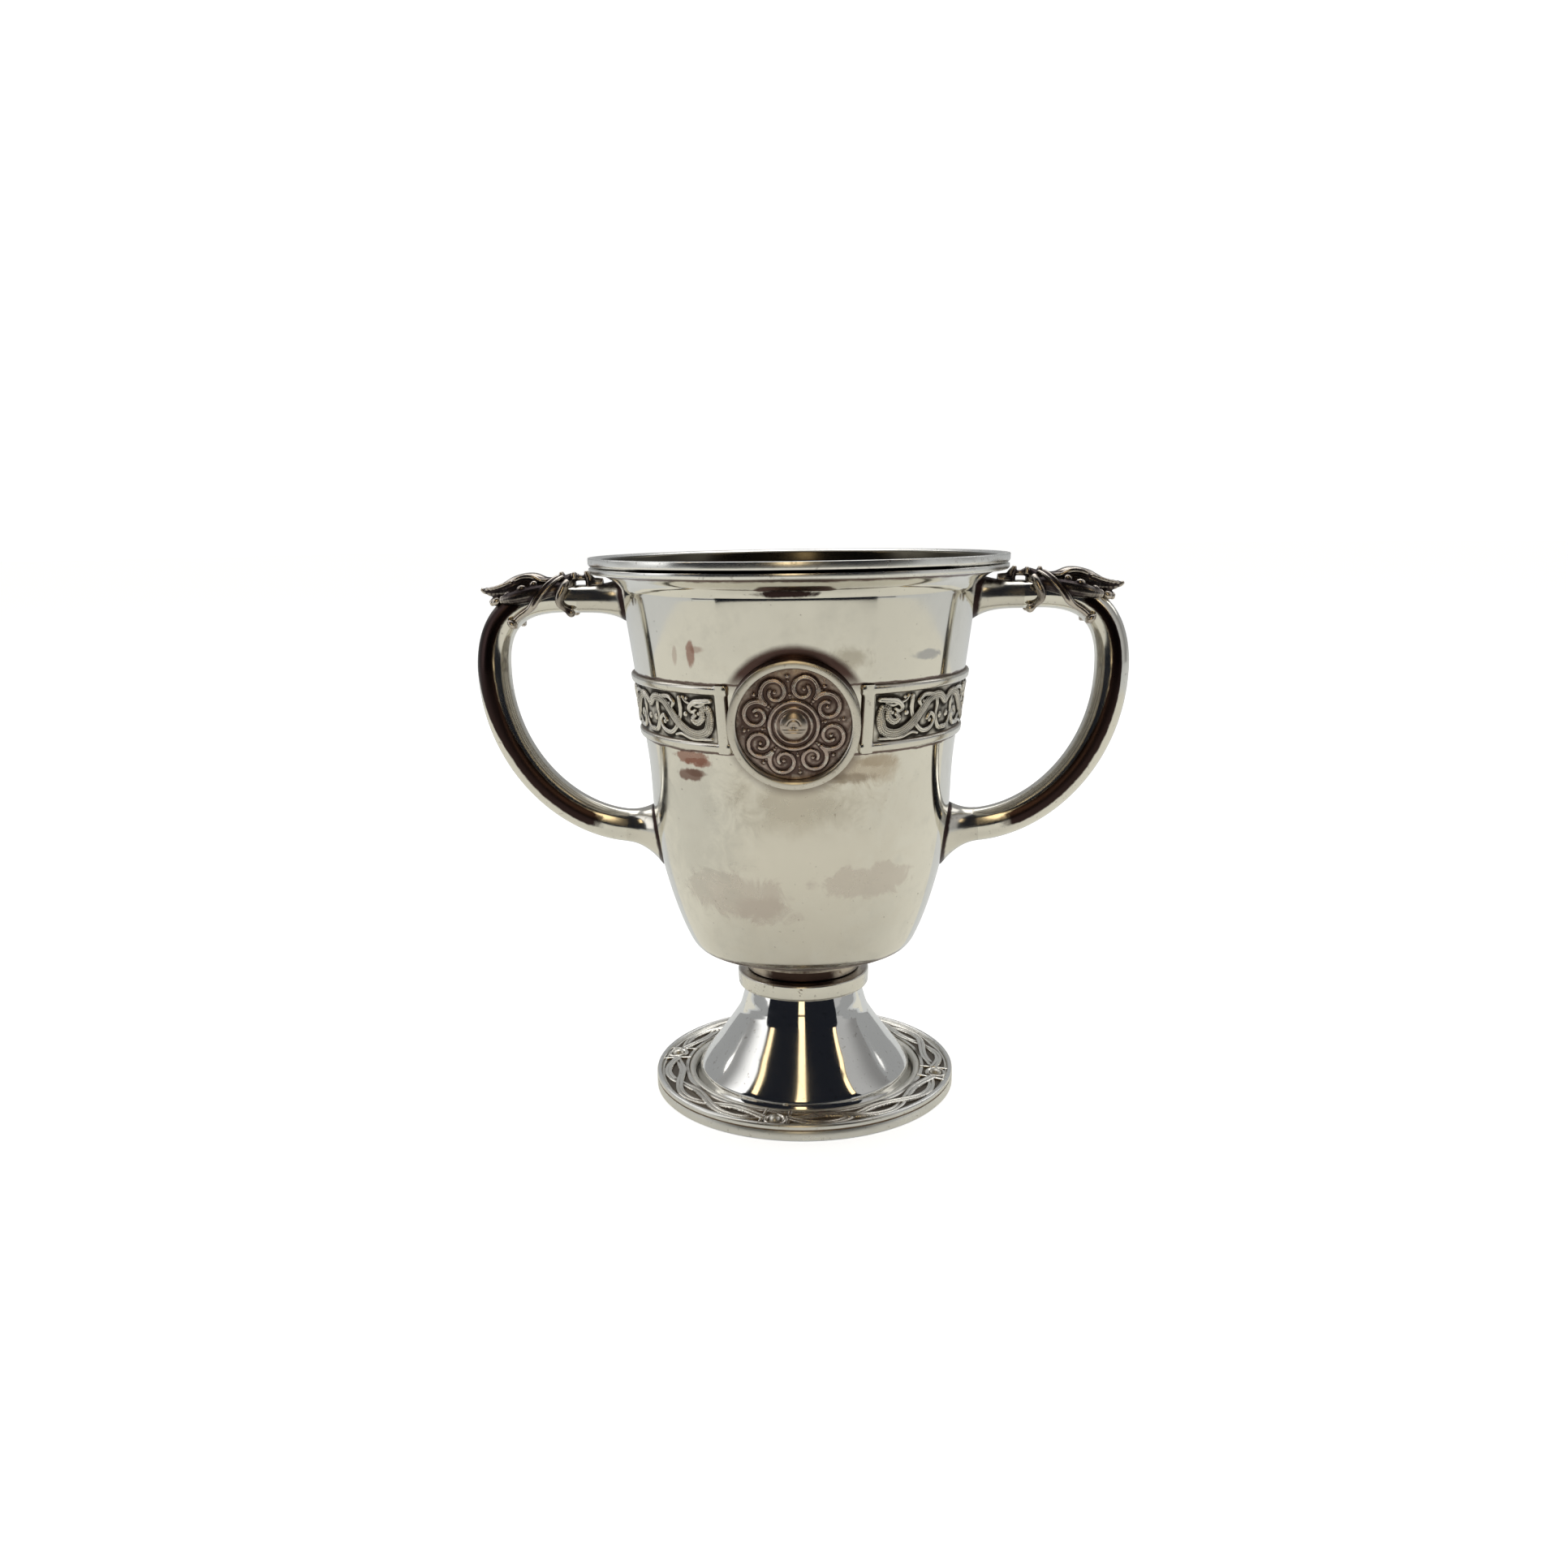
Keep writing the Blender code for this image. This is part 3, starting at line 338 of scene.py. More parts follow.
def bowl_grime_and_shade(nodes):
    """Share of brown on the bowl: grime along the base, painted shade along the band's edges and under the
    rim, and painted reflection and shade round the medallions.
    """
    across, _, height = nodes.axes()
    wobble = nodes.math("MULTIPLY_ADD", nodes.noise(260.0, 4.0, 0.6), 0.0009, -0.00045)
    rough_height = nodes.math("ADD", height, wobble)
    rise = nodes.math("SUBTRACT", height, BAND_MIDDLE_Z)
    reach = nodes.math("ADD", nodes.math("MULTIPLY", across, across), nodes.math("MULTIPLY", rise, rise))
    reach = nodes.math("ADD", nodes.math("SQRT", reach), nodes.math("MULTIPLY", wobble, 0.6))
    # painted reflection and shade: a dark arch over the medallion
    ring = nodes.math("MULTIPLY", nodes.ramp(reach, *RING_EDGE, 1.0, 0.0), nodes.ramp(rise, *RING_RISE))
    # painted shade under the medallion
    shade = nodes.math("MULTIPLY", nodes.ramp(reach, *SHADE_EDGE, 0.60, 0.0), nodes.ramp(rise, *SHADE_RISE))
    patches = [nodes.ramp(rough_height, *GRIME_BASE_Z, 0.90, 0.0), ring, shade]
    # painted shade: a dark line along the band's top and bottom edges
    for level in (BAND_TOP_Z + BAND_EDGE_SHADE / 2, BAND_BOTTOM_Z - BAND_EDGE_SHADE / 2):
        away = nodes.math("ABSOLUTE", nodes.math("SUBTRACT", rough_height, level))
        patches.append(nodes.ramp(away, BAND_EDGE_SHADE * 0.4, BAND_EDGE_SHADE * 1.3, 0.9, 0.0))
    # painted shadow under the rim
    total = nodes.ramp(rough_height, *RIM_SHADE_Z)
    for patch in patches:
        total = nodes.math("MAXIMUM", total, patch)
    return total


def bowl_inside():
    """Silver inside the bowl: duller, with a faint golden tone, and much darker near the mouth."""
    nodes = Nodes("bowl_inside")
    clouds = nodes.noise(60.0, 5.0, 0.6)
    # darker tone near the mouth, lighter further down
    darker_tone = nodes.mix(nodes.ramp(clouds, 0.35, 0.70), (0.115, 0.104, 0.080), (0.078, 0.070, 0.054))
    lighter_tone = nodes.mix(nodes.ramp(clouds, 0.35, 0.70), (0.60, 0.57, 0.49), (0.50, 0.465, 0.39))
    colour = nodes.mix(nodes.ramp(nodes.axes()["Z"], *INSIDE_DARKENING), lighter_tone, darker_tone)
    return nodes.finish(colour, nodes.ramp(clouds, 0.3, 0.7, 0.16, 0.30))


def relief_metal(
    name, high, low, gloss, haze, grain=0.5, strength=0.35, worn=(0.30, 0.62), blots=(), painted_glints=0.0
):
    """Cast ornament: dark oxide in the recesses and worn bright metal on the high points, with painted glints
    on the high points if asked for.
    """
    nodes = Nodes(name)
    cavity = nodes.attribute("relief")
    clouds = nodes.noise(180.0, 4.0, 0.6)
    wobble = nodes.math("MULTIPLY_ADD", clouds, grain, -grain / 2)
    level = nodes.math("ADD", cavity, wobble)
    colour = nodes.mix(nodes.ramp(level, *worn), low, high)
    colour, _ = nodes.blotted(colour, blots)
    colour = nodes.mix(nodes.ramp(nodes.noise(700.0, 3.0, 0.6), 0.60, 0.75, 0.0, 0.30), colour, BROWN)
    # painted highlights: bright glinting specks on the high points
    if painted_glints:
        glints = nodes.ramp(nodes.noise(900.0, 2.0, 0.6, warp=0.8), 0.54, 0.62)
        glints = nodes.math("MULTIPLY", glints, painted_glints)
        colour = nodes.mix(nodes.math("MULTIPLY", glints, nodes.ramp(cavity, 0.40, 0.60)), colour, GREY)
    roughness = nodes.ramp(level, 0.25, 0.75, haze, gloss)
    nodes.bump(nodes.noise(1500.0, 3.0, 0.6), strength, 0.00006)
    return nodes.finish(colour, roughness)


# Stains, and on the bowl painted shade and reflections: middle, size, tone, cover and softness of the edge
BOWL_STAINS_AND_SHADE = (
    # painted shade: a broad darker patch in the middle of the front, under the medallion
    ((0.0, -0.0330, 0.0600), (0.0190, 0.0200, 0.0300), (0.72, 0.68, 0.60), 0.55, 0.60),
    ((-0.0130, -0.0275, 0.0520), (0.0118, 0.0120, 0.0052), PINKISH, 0.50, 0.20),
    ((-0.0060, -0.0300, 0.0485), (0.0060, 0.0100, 0.0030), PINKISH, 0.40, 0.22),
    ((0.0140, -0.0275, 0.0545), (0.0108, 0.0110, 0.0034), PINKISH, 0.45, 0.18),
    # painted shade: a soft grey darkening low on the left
    ((-0.0215, -0.0250, 0.0660), (0.0100, 0.0120, 0.0150), (0.60, 0.59, 0.55), 0.55, 0.60),
    ((-0.0213, -0.0265, 0.0804), (0.0040, 0.0080, 0.0014), RUST, 0.80, 0.16),
    ((-0.0196, -0.0265, 0.0796), (0.0030, 0.0080, 0.0009), RUST, 0.75, 0.20),
    ((-0.0220, -0.0254, 0.0766), (0.0026, 0.0080, 0.0011), (0.20, 0.11, 0.085), 0.85, 0.24),
    ((-0.0205, -0.0260, 0.0771), (0.0024, 0.0080, 0.0006), (0.22, 0.13, 0.10), 0.70, 0.30),
    ((-0.0206, -0.0305, 0.1018), (0.0008, 0.0080, 0.0027), RUST, 0.75, 0.26),
    ((-0.0192, -0.0312, 0.1027), (0.0013, 0.0080, 0.0006), RUST, 0.45, 0.45),
    ((-0.0240, -0.0280, 0.1012), (0.0005, 0.0080, 0.0018), RUST, 0.35, 0.35),
    ((0.0266, -0.0250, 0.1008), (0.0030, 0.0080, 0.0010), (0.38, 0.38, 0.40), 0.70, 0.25),
    # painted shade: brown darkening at the lower right of the medallion, in this entry and the next two
    ((0.0129, -0.0310, 0.0785), (0.0075, 0.0090, 0.0028), (0.48, 0.38, 0.27), 0.55, 0.45),
    ((0.0118, -0.0310, 0.0769), (0.0036, 0.0090, 0.0011), (0.30, 0.23, 0.17), 0.55, 0.40),
    ((0.0160, -0.0295, 0.0800), (0.0040, 0.0090, 0.0012), (0.44, 0.35, 0.25), 0.50, 0.40),
    # painted shade right under the medallion
    ((0.0, -0.0330, 0.0720), (0.0130, 0.0120, 0.0050), (0.62, 0.56, 0.46), 0.45, 0.60),
    # painted shade and reflection: a brown patch by the medallion's upper right
    ((0.0107, -0.0350, 0.1010), (0.0034, 0.0090, 0.0022), (0.50, 0.45, 0.37), 0.60, 0.45),
    # painted reflection: a dark patch just under the rim at the front
    ((-0.0001, -0.0386, 0.1137), (0.0056, 0.0080, 0.0006), TARNISH_AND_DARK_REFLECTION, 1.00, 0.30),
)
FOOT_STAINS = (
    ((0.0, -0.0320, 0.0030), (0.0150, 0.0090, 0.0060), (0.36, 0.28, 0.22), 0.30, 0.45),
    ((-0.0230, -0.0200, 0.0030), (0.0070, 0.0080, 0.0060), (0.42, 0.36, 0.29), 0.30, 0.40),
)


# Mesh helpers


def linked(name, data):
    """A new object in the scene."""
    obj = bpy.data.objects.new(name, data)
    bpy.context.scene.collection.objects.link(obj)
    return obj


def plain_mesh(name, points, faces):
    mesh = bpy.data.meshes.new(name)
    mesh.from_pydata([tuple(p) for p in points], [], faces)
    return mesh


def piece(node, points, faces, look, relief=None, sharp=40.0, name=None):
    """A finished piece from points and faces, which rides on the cup and stands for its node."""
    name = f"cup_{name or node}"
    mesh = plain_mesh(name, points, faces)
    if relief is not None:
        attribute = mesh.attributes.new("relief", "FLOAT", "POINT")
        attribute.data.foreach_set("value", np.asarray(relief, np.float32))
    mesh.materials.append(MATERIALS[look])
    work = bmesh.new()
    work.from_mesh(mesh)
    bmesh.ops.recalc_face_normals(work, faces=work.faces)
    work.to_mesh(mesh)
    work.free()
    mesh.shade_smooth()
    mesh.set_sharp_from_angle(angle=math.radians(sharp))
    obj = linked(name, mesh)
    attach(obj, "root")
    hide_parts(node)
    return obj


def smooth_outline(knots, steps):
    """A smooth curve through (radius, height) knots."""
    flat = np.array(knots, float)
    before = flat[np.maximum(np.arange(len(flat)) - 1, 0)]
    after = flat[np.minimum(np.arange(len(flat)) + 1, len(flat) - 1)]
    slopes = (after - before) / np.linalg.norm(after - before, axis=1)[:, None]
    points = []
    for i in range(len(flat) - 1):
        reach = np.linalg.norm(flat[i + 1] - flat[i]) / 3
        corners = (flat[i], flat[i] + slopes[i] * reach, flat[i + 1] - slopes[i + 1] * reach, flat[i + 1])
        for j in range(steps):
            points.append(on_bezier(corners, j / steps))
    points.append(flat[-1])
    return np.array(points)


def on_bezier(corners, share):
    first, second, third, last = corners
    rest = 1 - share
    return first * rest**3 + 3 * second * share * rest**2 + 3 * third * share**2 * rest + last * share**3


def arc(centre, radius, start, end, steps):
    """Points on an arc in the (radius, height) plane, with angles in degrees."""
    turns = np.radians(np.linspace(start, end, steps + 1))
    return [(centre[0] + radius * math.cos(t), centre[1] + radius * math.sin(t)) for t in turns]


def offset_outline(points, distance):
    """The outline moved sideways along its own normals. It runs from top to bottom."""
    flat = np.array(points, float)
    before = flat[np.maximum(np.arange(len(flat)) - 1, 0)]
    after = flat[np.minimum(np.arange(len(flat)) + 1, len(flat) - 1)]
    along = (after - before) / np.linalg.norm(after - before, axis=1)[:, None]
    return flat + np.stack([-along[:, 1], along[:, 0]], 1) * distance


def revolve(outline, steps, closed=True):
    """Points and faces of an outline turned about Z."""
    rings = []
    points = []
    turns = [math.tau * i / steps for i in range(steps)]
    for radius, height in outline:
        if radius < 1e-7:
            rings.append([len(points)] * steps)
            points.append((0.0, 0.0, height))
        else:
            rings.append(list(range(len(points), len(points) + steps)))
            points += [(radius * math.cos(turn), radius * math.sin(turn), height) for turn in turns]
    faces = []
    pairs = list(zip(rings, rings[1:]))
    if closed:
        pairs.append((rings[-1], rings[0]))
    for first, second in pairs:
        for i in range(steps):
            j = (i + 1) % steps
            corners = [first[i], first[j], second[j], second[i]]
            face = [c for k, c in enumerate(corners) if c not in corners[:k]]
            if len(face) > 2:
                faces.append(face)
    return points, faces


def turned_piece(node, outline, look, relief=None, closed=True, steps=TURN_STEPS, place=None):
    """A piece from an outline turned about Z, and then moved to its place."""
    points, faces = revolve(outline, steps, closed)
    if place is not None:
        points = [place @ Vector(p) for p in points]
    return piece(node, points, faces, look, relief)


def fade(value, span):
    """A share that grows from 0 to 1 over a span."""
    return np.clip(value / span, 0.0, 1.0)


def front_share(low, high):
    """For each step of a turn, 1 in front and at the back of the cup and 0 at its sides."""
    turns = np.arange(TURN_STEPS) * math.tau / TURN_STEPS
    return fade(np.abs(np.sin(turns)) - low, high - low)


def on_turns(radius, turns, height):
    """Points at radii, turns from the +X axis and heights, as an array with a last axis of three."""
    radius, turns, height = np.broadcast_arrays(radius, turns, height)
    return np.stack([radius * np.cos(turns), radius * np.sin(turns), height], -1)


def closed_sheet(front, backs, relief, back_relief, round_about):
    """Points, faces and relief of a sheet from its front grid and the two lines along its back."""
    columns, rows = relief.shape
    points = np.concatenate([front, *[line[:, None, :] for line in backs]], 1).reshape(-1, 3)
    values = np.concatenate([relief, np.full((columns, 2), back_relief)], 1).ravel()
    return points, sheet_faces(columns, rows, round_about), values


def add_pair(names, points, faces, look, relief, sharp=40.0):
    """The right piece of a pair, and its copy turned half round on the left."""
    for side, sign in SIDES:
        piece(names.format(side), np.array(points) * (sign, sign, 1), faces, look, relief, sharp)


def grid_faces(columns, rows, step, wrap):
    """Quads of a grid whose columns of points lie a step apart; wrap joins the last column to the first."""
    faces = []
    for i in range(columns if wrap else columns - 1):
        here = i * step
        there = ((i + 1) % columns) * step
        faces += [(here + j, there + j, there + j + 1, here + j + 1) for j in range(rows - 1)]
    return faces


def sheet_faces(columns, rows, round_about):
    """Faces of a closed sheet: a front grid, a skirt down each side and a back strip.

    Points come column by column, the front rows first and then the two back points."""
    step = rows + 2
    faces = grid_faces(columns, rows, step, round_about)
    for i in range(columns if round_about else columns - 1):
        here = i * step
        there = ((i + 1) % columns) * step
        for low, high in ((rows, 0), (rows - 1, rows + 1), (rows + 1, rows)):
            faces.append((here + low, there + low, there + high, here + high))
    if not round_about:
        for column in (0, columns - 1):
            start = column * step
            faces.append([start + j for j in range(rows)] + [start + rows + 1, start + rows])
    return faces


# Relief: heights over a flat field, worked out from rounded strands


HATCH_PITCH = 0.8


def curve_through(knots, steps=14):
    """A smooth line through knots of any number of values."""
    flat = np.array(knots, float)
    last = len(flat) - 1
    line = []
    for i in range(last):
        p0, p1, p2, p3 = flat[max(i - 1, 0)], flat[i], flat[i + 1], flat[min(i + 2, last)]
        for j in range(steps):
            t = j / steps
            line.append(0.5 * (
                2 * p1 + (p2 - p0) * t + (2 * p0 - 5 * p1 + 4 * p2 - p3) * t**2
                + (3 * p1 - p0 - 3 * p2 + p3) * t**3
            ))
    line.append(flat[-1])
    return np.array(line)


def strand(field, line, width, crown, groove=0.0, hatch=0.0):
    """Height of one rounded strand over the field: its line holds x, y, lift and at times a width share."""
    reach = width * 1.3
    low = line[:, :2].min(0) - reach
    high = line[:, :2].max(0) + reach
    near = np.flatnonzero(((field > low) & (field < high)).all(1))
    spot = field[near]
    distance = np.full(len(near), np.inf)
    facts = np.zeros((len(near), 4))
    run = 0.0
    for start, end in zip(line, line[1:]):
        step = end[:2] - start[:2]
        length = math.hypot(*step)
        if length < 1e-9:
            continue
        share = np.clip(((spot - start[:2]) @ step) / length**2, 0.0, 1.0)
        away = spot - start[:2] - share[:, None] * step
        gap = np.hypot(away[:, 0], away[:, 1])
        closer = gap < distance
        distance[closer] = gap[closer]
        lift = start[2] + (end[2] - start[2]) * share
        wide = start[3] + (end[3] - start[3]) * share if len(start) > 3 else np.ones(len(spot))
        turn = np.sign(step[0] * away[:, 1] - step[1] * away[:, 0])
        facts[closer] = np.stack([lift, run + share * length, turn, wide], 1)[closer]
        run += length
    lift, travel, side, spread = facts.T
    half = width * spread
    inside = distance < half
    across = np.where(inside, distance / half, 1.0)
    height = lift + crown * np.sqrt(np.maximum(1 - across**2, 0.0))
    if groove:
        height = height - groove * np.exp(-((distance / (0.28 * half)) ** 2))
    if hatch:
        slant = side * distance * 0.9
        waves = np.cos(math.tau * (travel + slant) / HATCH_PITCH)
        waves = waves * np.cos(math.tau * (travel - slant) / HATCH_PITCH)
        height = height - hatch * (1 - waves) * (across < 0.86)
    heights = np.full(len(field), -np.inf)
    heights[near] = np.where(inside, height, -np.inf)
    return heights


def ball(field, middle, radius, height, lift=0.0, dimple=0.0):
    """Height of a round pellet over the field."""
    gap = np.hypot(field[:, 0] - middle[0], field[:, 1] - middle[1])
    dome = lift + height * np.sqrt(np.maximum(1 - (gap / radius) ** 2, 0.0))
    dome = dome - dimple * np.exp(-((gap / (0.35 * radius)) ** 2))
    return np.where(gap < radius, dome, -np.inf)


def raised(heights, shapes):
    """The heights, raised to each shape where it stands over them."""
    for shape in shapes:
        heights = np.maximum(heights, shape.reshape(heights.shape))
    return heights


def blurred(grid, reach, wrap):
    """The grid averaged over a few cells each way, along both axes."""
    out = grid.astype(float)
    for axis in (0, 1):
        mode = "wrap" if wrap and axis == 0 else "edge"
        pad = [(0, 0), (0, 0)]
        pad[axis] = (reach, reach)
        padded = np.pad(out, pad, mode=mode)
        total = np.zeros_like(out)
        for k in range(2 * reach + 1):
            total += np.take(padded, np.arange(k, k + out.shape[axis]), axis=axis)
        out = total / (2 * reach + 1)
    return out


def cavity(heights, reach, scale, wrap=False):
    """How high a point stands over its surroundings, as a share round one half."""
    return np.clip(0.5 + (heights - blurred(heights, reach, wrap)) / scale, 0.0, 1.0)


# The bowl's wall


def bowl_outline(steps=12):
    """The bowl's outer side, from the mouth down to the middle of its floor."""
    wall = smooth_outline(BOWL_KNOTS, steps)
    floor_edge = len(wall) - steps
    outline = np.vstack([[(BOWL_KNOTS[0][0], BOWL_HEIGHT)], wall[:floor_edge], [(0.0, 0.0)]])
    outline[:, 1] = np.maximum(outline[:, 1], 0.0) + BOWL_BASE_Z
    return outline


WALL = bowl_outline()


def wall_radius(height):
    """The bowl's outer radius at heights above the table."""
    rising = WALL[::-1]
    return np.interp(height, rising[:, 1], rising[:, 0])


def wall_tilt():
    """How far the wall behind the medallions leans outwards."""
    rise = wall_radius(BAND_TOP_Z) - wall_radius(BAND_BOTTOM_Z)
    return math.atan2(rise, BAND_HEIGHT)


def make_bowl():
    """Raised bowl with a rounded lip: its outside and its inside have a look each."""
    inner = offset_outline(WALL[:-1], -BOWL_WALL)
    inner = inner[inner[:, 1] > BOWL_BASE_Z + BOWL_WALL]
    lip = arc((BOWL_KNOTS[0][0] - BOWL_WALL / 2, BOWL_TOP_Z), BOWL_WALL / 2, 180, 0, 8)[1:-1]
    floor_inside = [(inner[-1][0] * share, BOWL_BASE_Z + BOWL_WALL) for share in (0.97, 0.5, 0.0)]
    outline = [tuple(p) for p in WALL] + floor_inside[::-1] + [tuple(p) for p in inner[::-1]]
    obj = turned_piece("bowl", outline + lip, "bowl")
    obj.data.materials.append(MATERIALS["inside"])
    for polygon in obj.data.polygons:
        middle = polygon.center
        radius = math.hypot(middle.x, middle.y)
        if middle.z > BOWL_BASE_Z + BOWL_WALL / 2 and radius < wall_radius(middle.z) - BOWL_WALL / 2:
            polygon.material_index = 1


def make_rim():
    """Two beads with a groove between them, which has painted shade in front and at the back."""
    lip_centre = (RIM_OUTER_RADIUS - RIM_LIP_BEAD, RIM_TOP_Z - RIM_LIP_BEAD)
    base = RIM_TOP_Z - 2 * RIM_LIP_BEAD - 2 * RIM_LOWER_BEAD
    lower_face = RIM_OUTER_RADIUS - RIM_STEP
    lower_centre = (RIM_OUTER_RADIUS - RIM_LOWER_BEAD - RIM_STEP, base + RIM_LOWER_BEAD)
    groove_top = lip_centre[1] - RIM_LIP_BEAD * 0.55
    groove_base = lower_centre[1] + RIM_LOWER_BEAD * 0.70
    groove_bottom = (RIM_OUTER_RADIUS - RIM_LIP_BEAD - RIM_GROOVE_DEPTH, base + 2 * RIM_LOWER_BEAD)
    outline = [(RIM_INNER_RADIUS, RIM_TOP_Z - RIM_INNER_DROP)]
    outline += arc(lip_centre, RIM_LIP_BEAD, 165, 92, 10)
    outline += arc((RIM_OUTER_RADIUS - RIM_CORNER, RIM_TOP_Z - RIM_CORNER), RIM_CORNER, 84, -3, 8)
    outline += arc(lip_centre, RIM_LIP_BEAD, -12, -50, 6)
    outline.append(groove_bottom)
    outline += arc((lower_face - RIM_CORNER, groove_base - RIM_CORNER * 0.6), RIM_CORNER, 80, -3, 8)
    outline += arc(lower_centre, RIM_LOWER_BEAD, -12, -110, 8)
    outline.append((RIM_INNER_RADIUS, base + 0.0002))
    in_groove = [
        float(groove_base < height < groove_top and radius > RIM_INNER_RADIUS) for radius, height in outline
    ]
    # painted shade in the groove, only in front and at the back
    grime_and_shade = np.outer(in_groove, front_share(0.62, 0.80)).ravel()
    points, faces = revolve(outline, TURN_STEPS)
    piece("rim_moulding", points, faces, "rim", grime_and_shade, name="rim")


# Foot and stem


def make_foot():
    """Spun foot with its neck, cone, cove and brim, and the bead, edge and border on it."""
    border_inner = FOOT_RADIUS - FOOT_EDGE_LIP - BORDER_WIDTH
    cove_end = border_inner - 2 * BEAD_RADIUS
    cone_base = cove_end - COVE_WIDTH
    outline = [(0.0, FOOT_HEIGHT), (NECK_RADIUS - 0.0006, FOOT_HEIGHT)]
    neck = [(NECK_RADIUS + step, NECK_WAIST_HEIGHT + rise) for step, rise in NECK_STEPS]
    neck += [
        (CONE_TOP_RADIUS, CONE_TOP_HEIGHT),
        ((CONE_TOP_RADIUS + cone_base) / 2 - 0.0002, (CONE_TOP_HEIGHT + BRIM_HEIGHT + COVE_HEIGHT) / 2),
        (cone_base, BRIM_HEIGHT + COVE_HEIGHT),
        (cone_base + COVE_WIDTH * COVE_SAG, BRIM_HEIGHT + COVE_HEIGHT * COVE_SAG),
        (cove_end, BRIM_HEIGHT),
    ]
    outline += [tuple(p) for p in smooth_outline(neck, 8)]
    outline.append((FOOT_RADIUS - FOOT_EDGE_WIDTH, BRIM_HEIGHT))
    under = [tuple(p) for p in offset_outline(outline[1:], -SHEET_THICKNESS)]
    turned_piece("foot_cone", outline + under[::-1] + [(0.0, FOOT_HEIGHT - SHEET_THICKNESS)], "cone")
    bead_centre = (border_inner - BEAD_RADIUS, BRIM_HEIGHT + BEAD_RADIUS)
    turned_piece("foot_bead", arc(bead_centre, BEAD_RADIUS, 90, -246, 14), "wire")
    lip_inner = FOOT_RADIUS - FOOT_EDGE_LIP
    make_foot_edge(lip_inner)
    make_border(border_inner, lip_inner)


def make_foot_edge(inner):
    """The moulded wire that the cup stands on, with a fine grimy groove round it."""
    groove = FOOT_RADIUS - FOOT_GROOVE_DEPTH
    lip_centre = (inner + FOOT_LIP_CORNER, FOOT_EDGE_HEIGHT - FOOT_LIP_CORNER)
    corner = (FOOT_RADIUS - FOOT_EDGE_CORNER, FOOT_EDGE_HEIGHT - FOOT_EDGE_CORNER)
    outline = [(inner, FOOT_EDGE_HEIGHT - 0.0002)]
    outline += arc(lip_centre, FOOT_LIP_CORNER, 150, 90, 3)
    outline += arc(corner, FOOT_EDGE_CORNER, 90, 0, 8)
    outline += [(FOOT_RADIUS, FOOT_GROOVE_Z + 0.0003), (groove, FOOT_GROOVE_Z + 0.0001)]
    outline += [(groove, FOOT_GROOVE_Z - 0.0001), (FOOT_RADIUS, FOOT_GROOVE_Z - 0.0003)]
    outline += [(FOOT_RADIUS, 0.0004), (FOOT_RADIUS - 0.0004, 0.0), (FOOT_RADIUS - FOOT_EDGE_WIDTH, 0.0)]
    outline += [(FOOT_RADIUS - FOOT_EDGE_WIDTH, FOOT_LEDGE_HEIGHT), (inner, FOOT_LEDGE_HEIGHT)]
    grime_and_shade = [0.8 * float(abs(height - FOOT_GROOVE_Z) < 0.0002) for _, height in outline]
    turned_piece("foot_edge", outline, "edge", np.repeat(grime_and_shade, TURN_STEPS))


# The border's ornament, in mm and degrees
LOOPS_BETWEEN_STUDS = 3
STUD_PLATE_TURN = 6.3
STUD_PLATE_RADIUS = 2.5
STUD_PLATE_RING = 2.05
BORDER_SWING = 1.62
BORDER_LIFT = 0.32
BORDER_CROSSING = 0.15
STRAND_WIDTH = 0.84
STRAND_CROWN = 0.34
STRAND_GROOVE = 0.26
STUD_PLATE_HEIGHTS = (0.22, 0.50)
# The border's floor in metres: height over its base at the outer side, and how much more at the inner side
BORDER_FLOOR = (0.0007, 0.0005)
BORDER_GRID = (1440, 48)


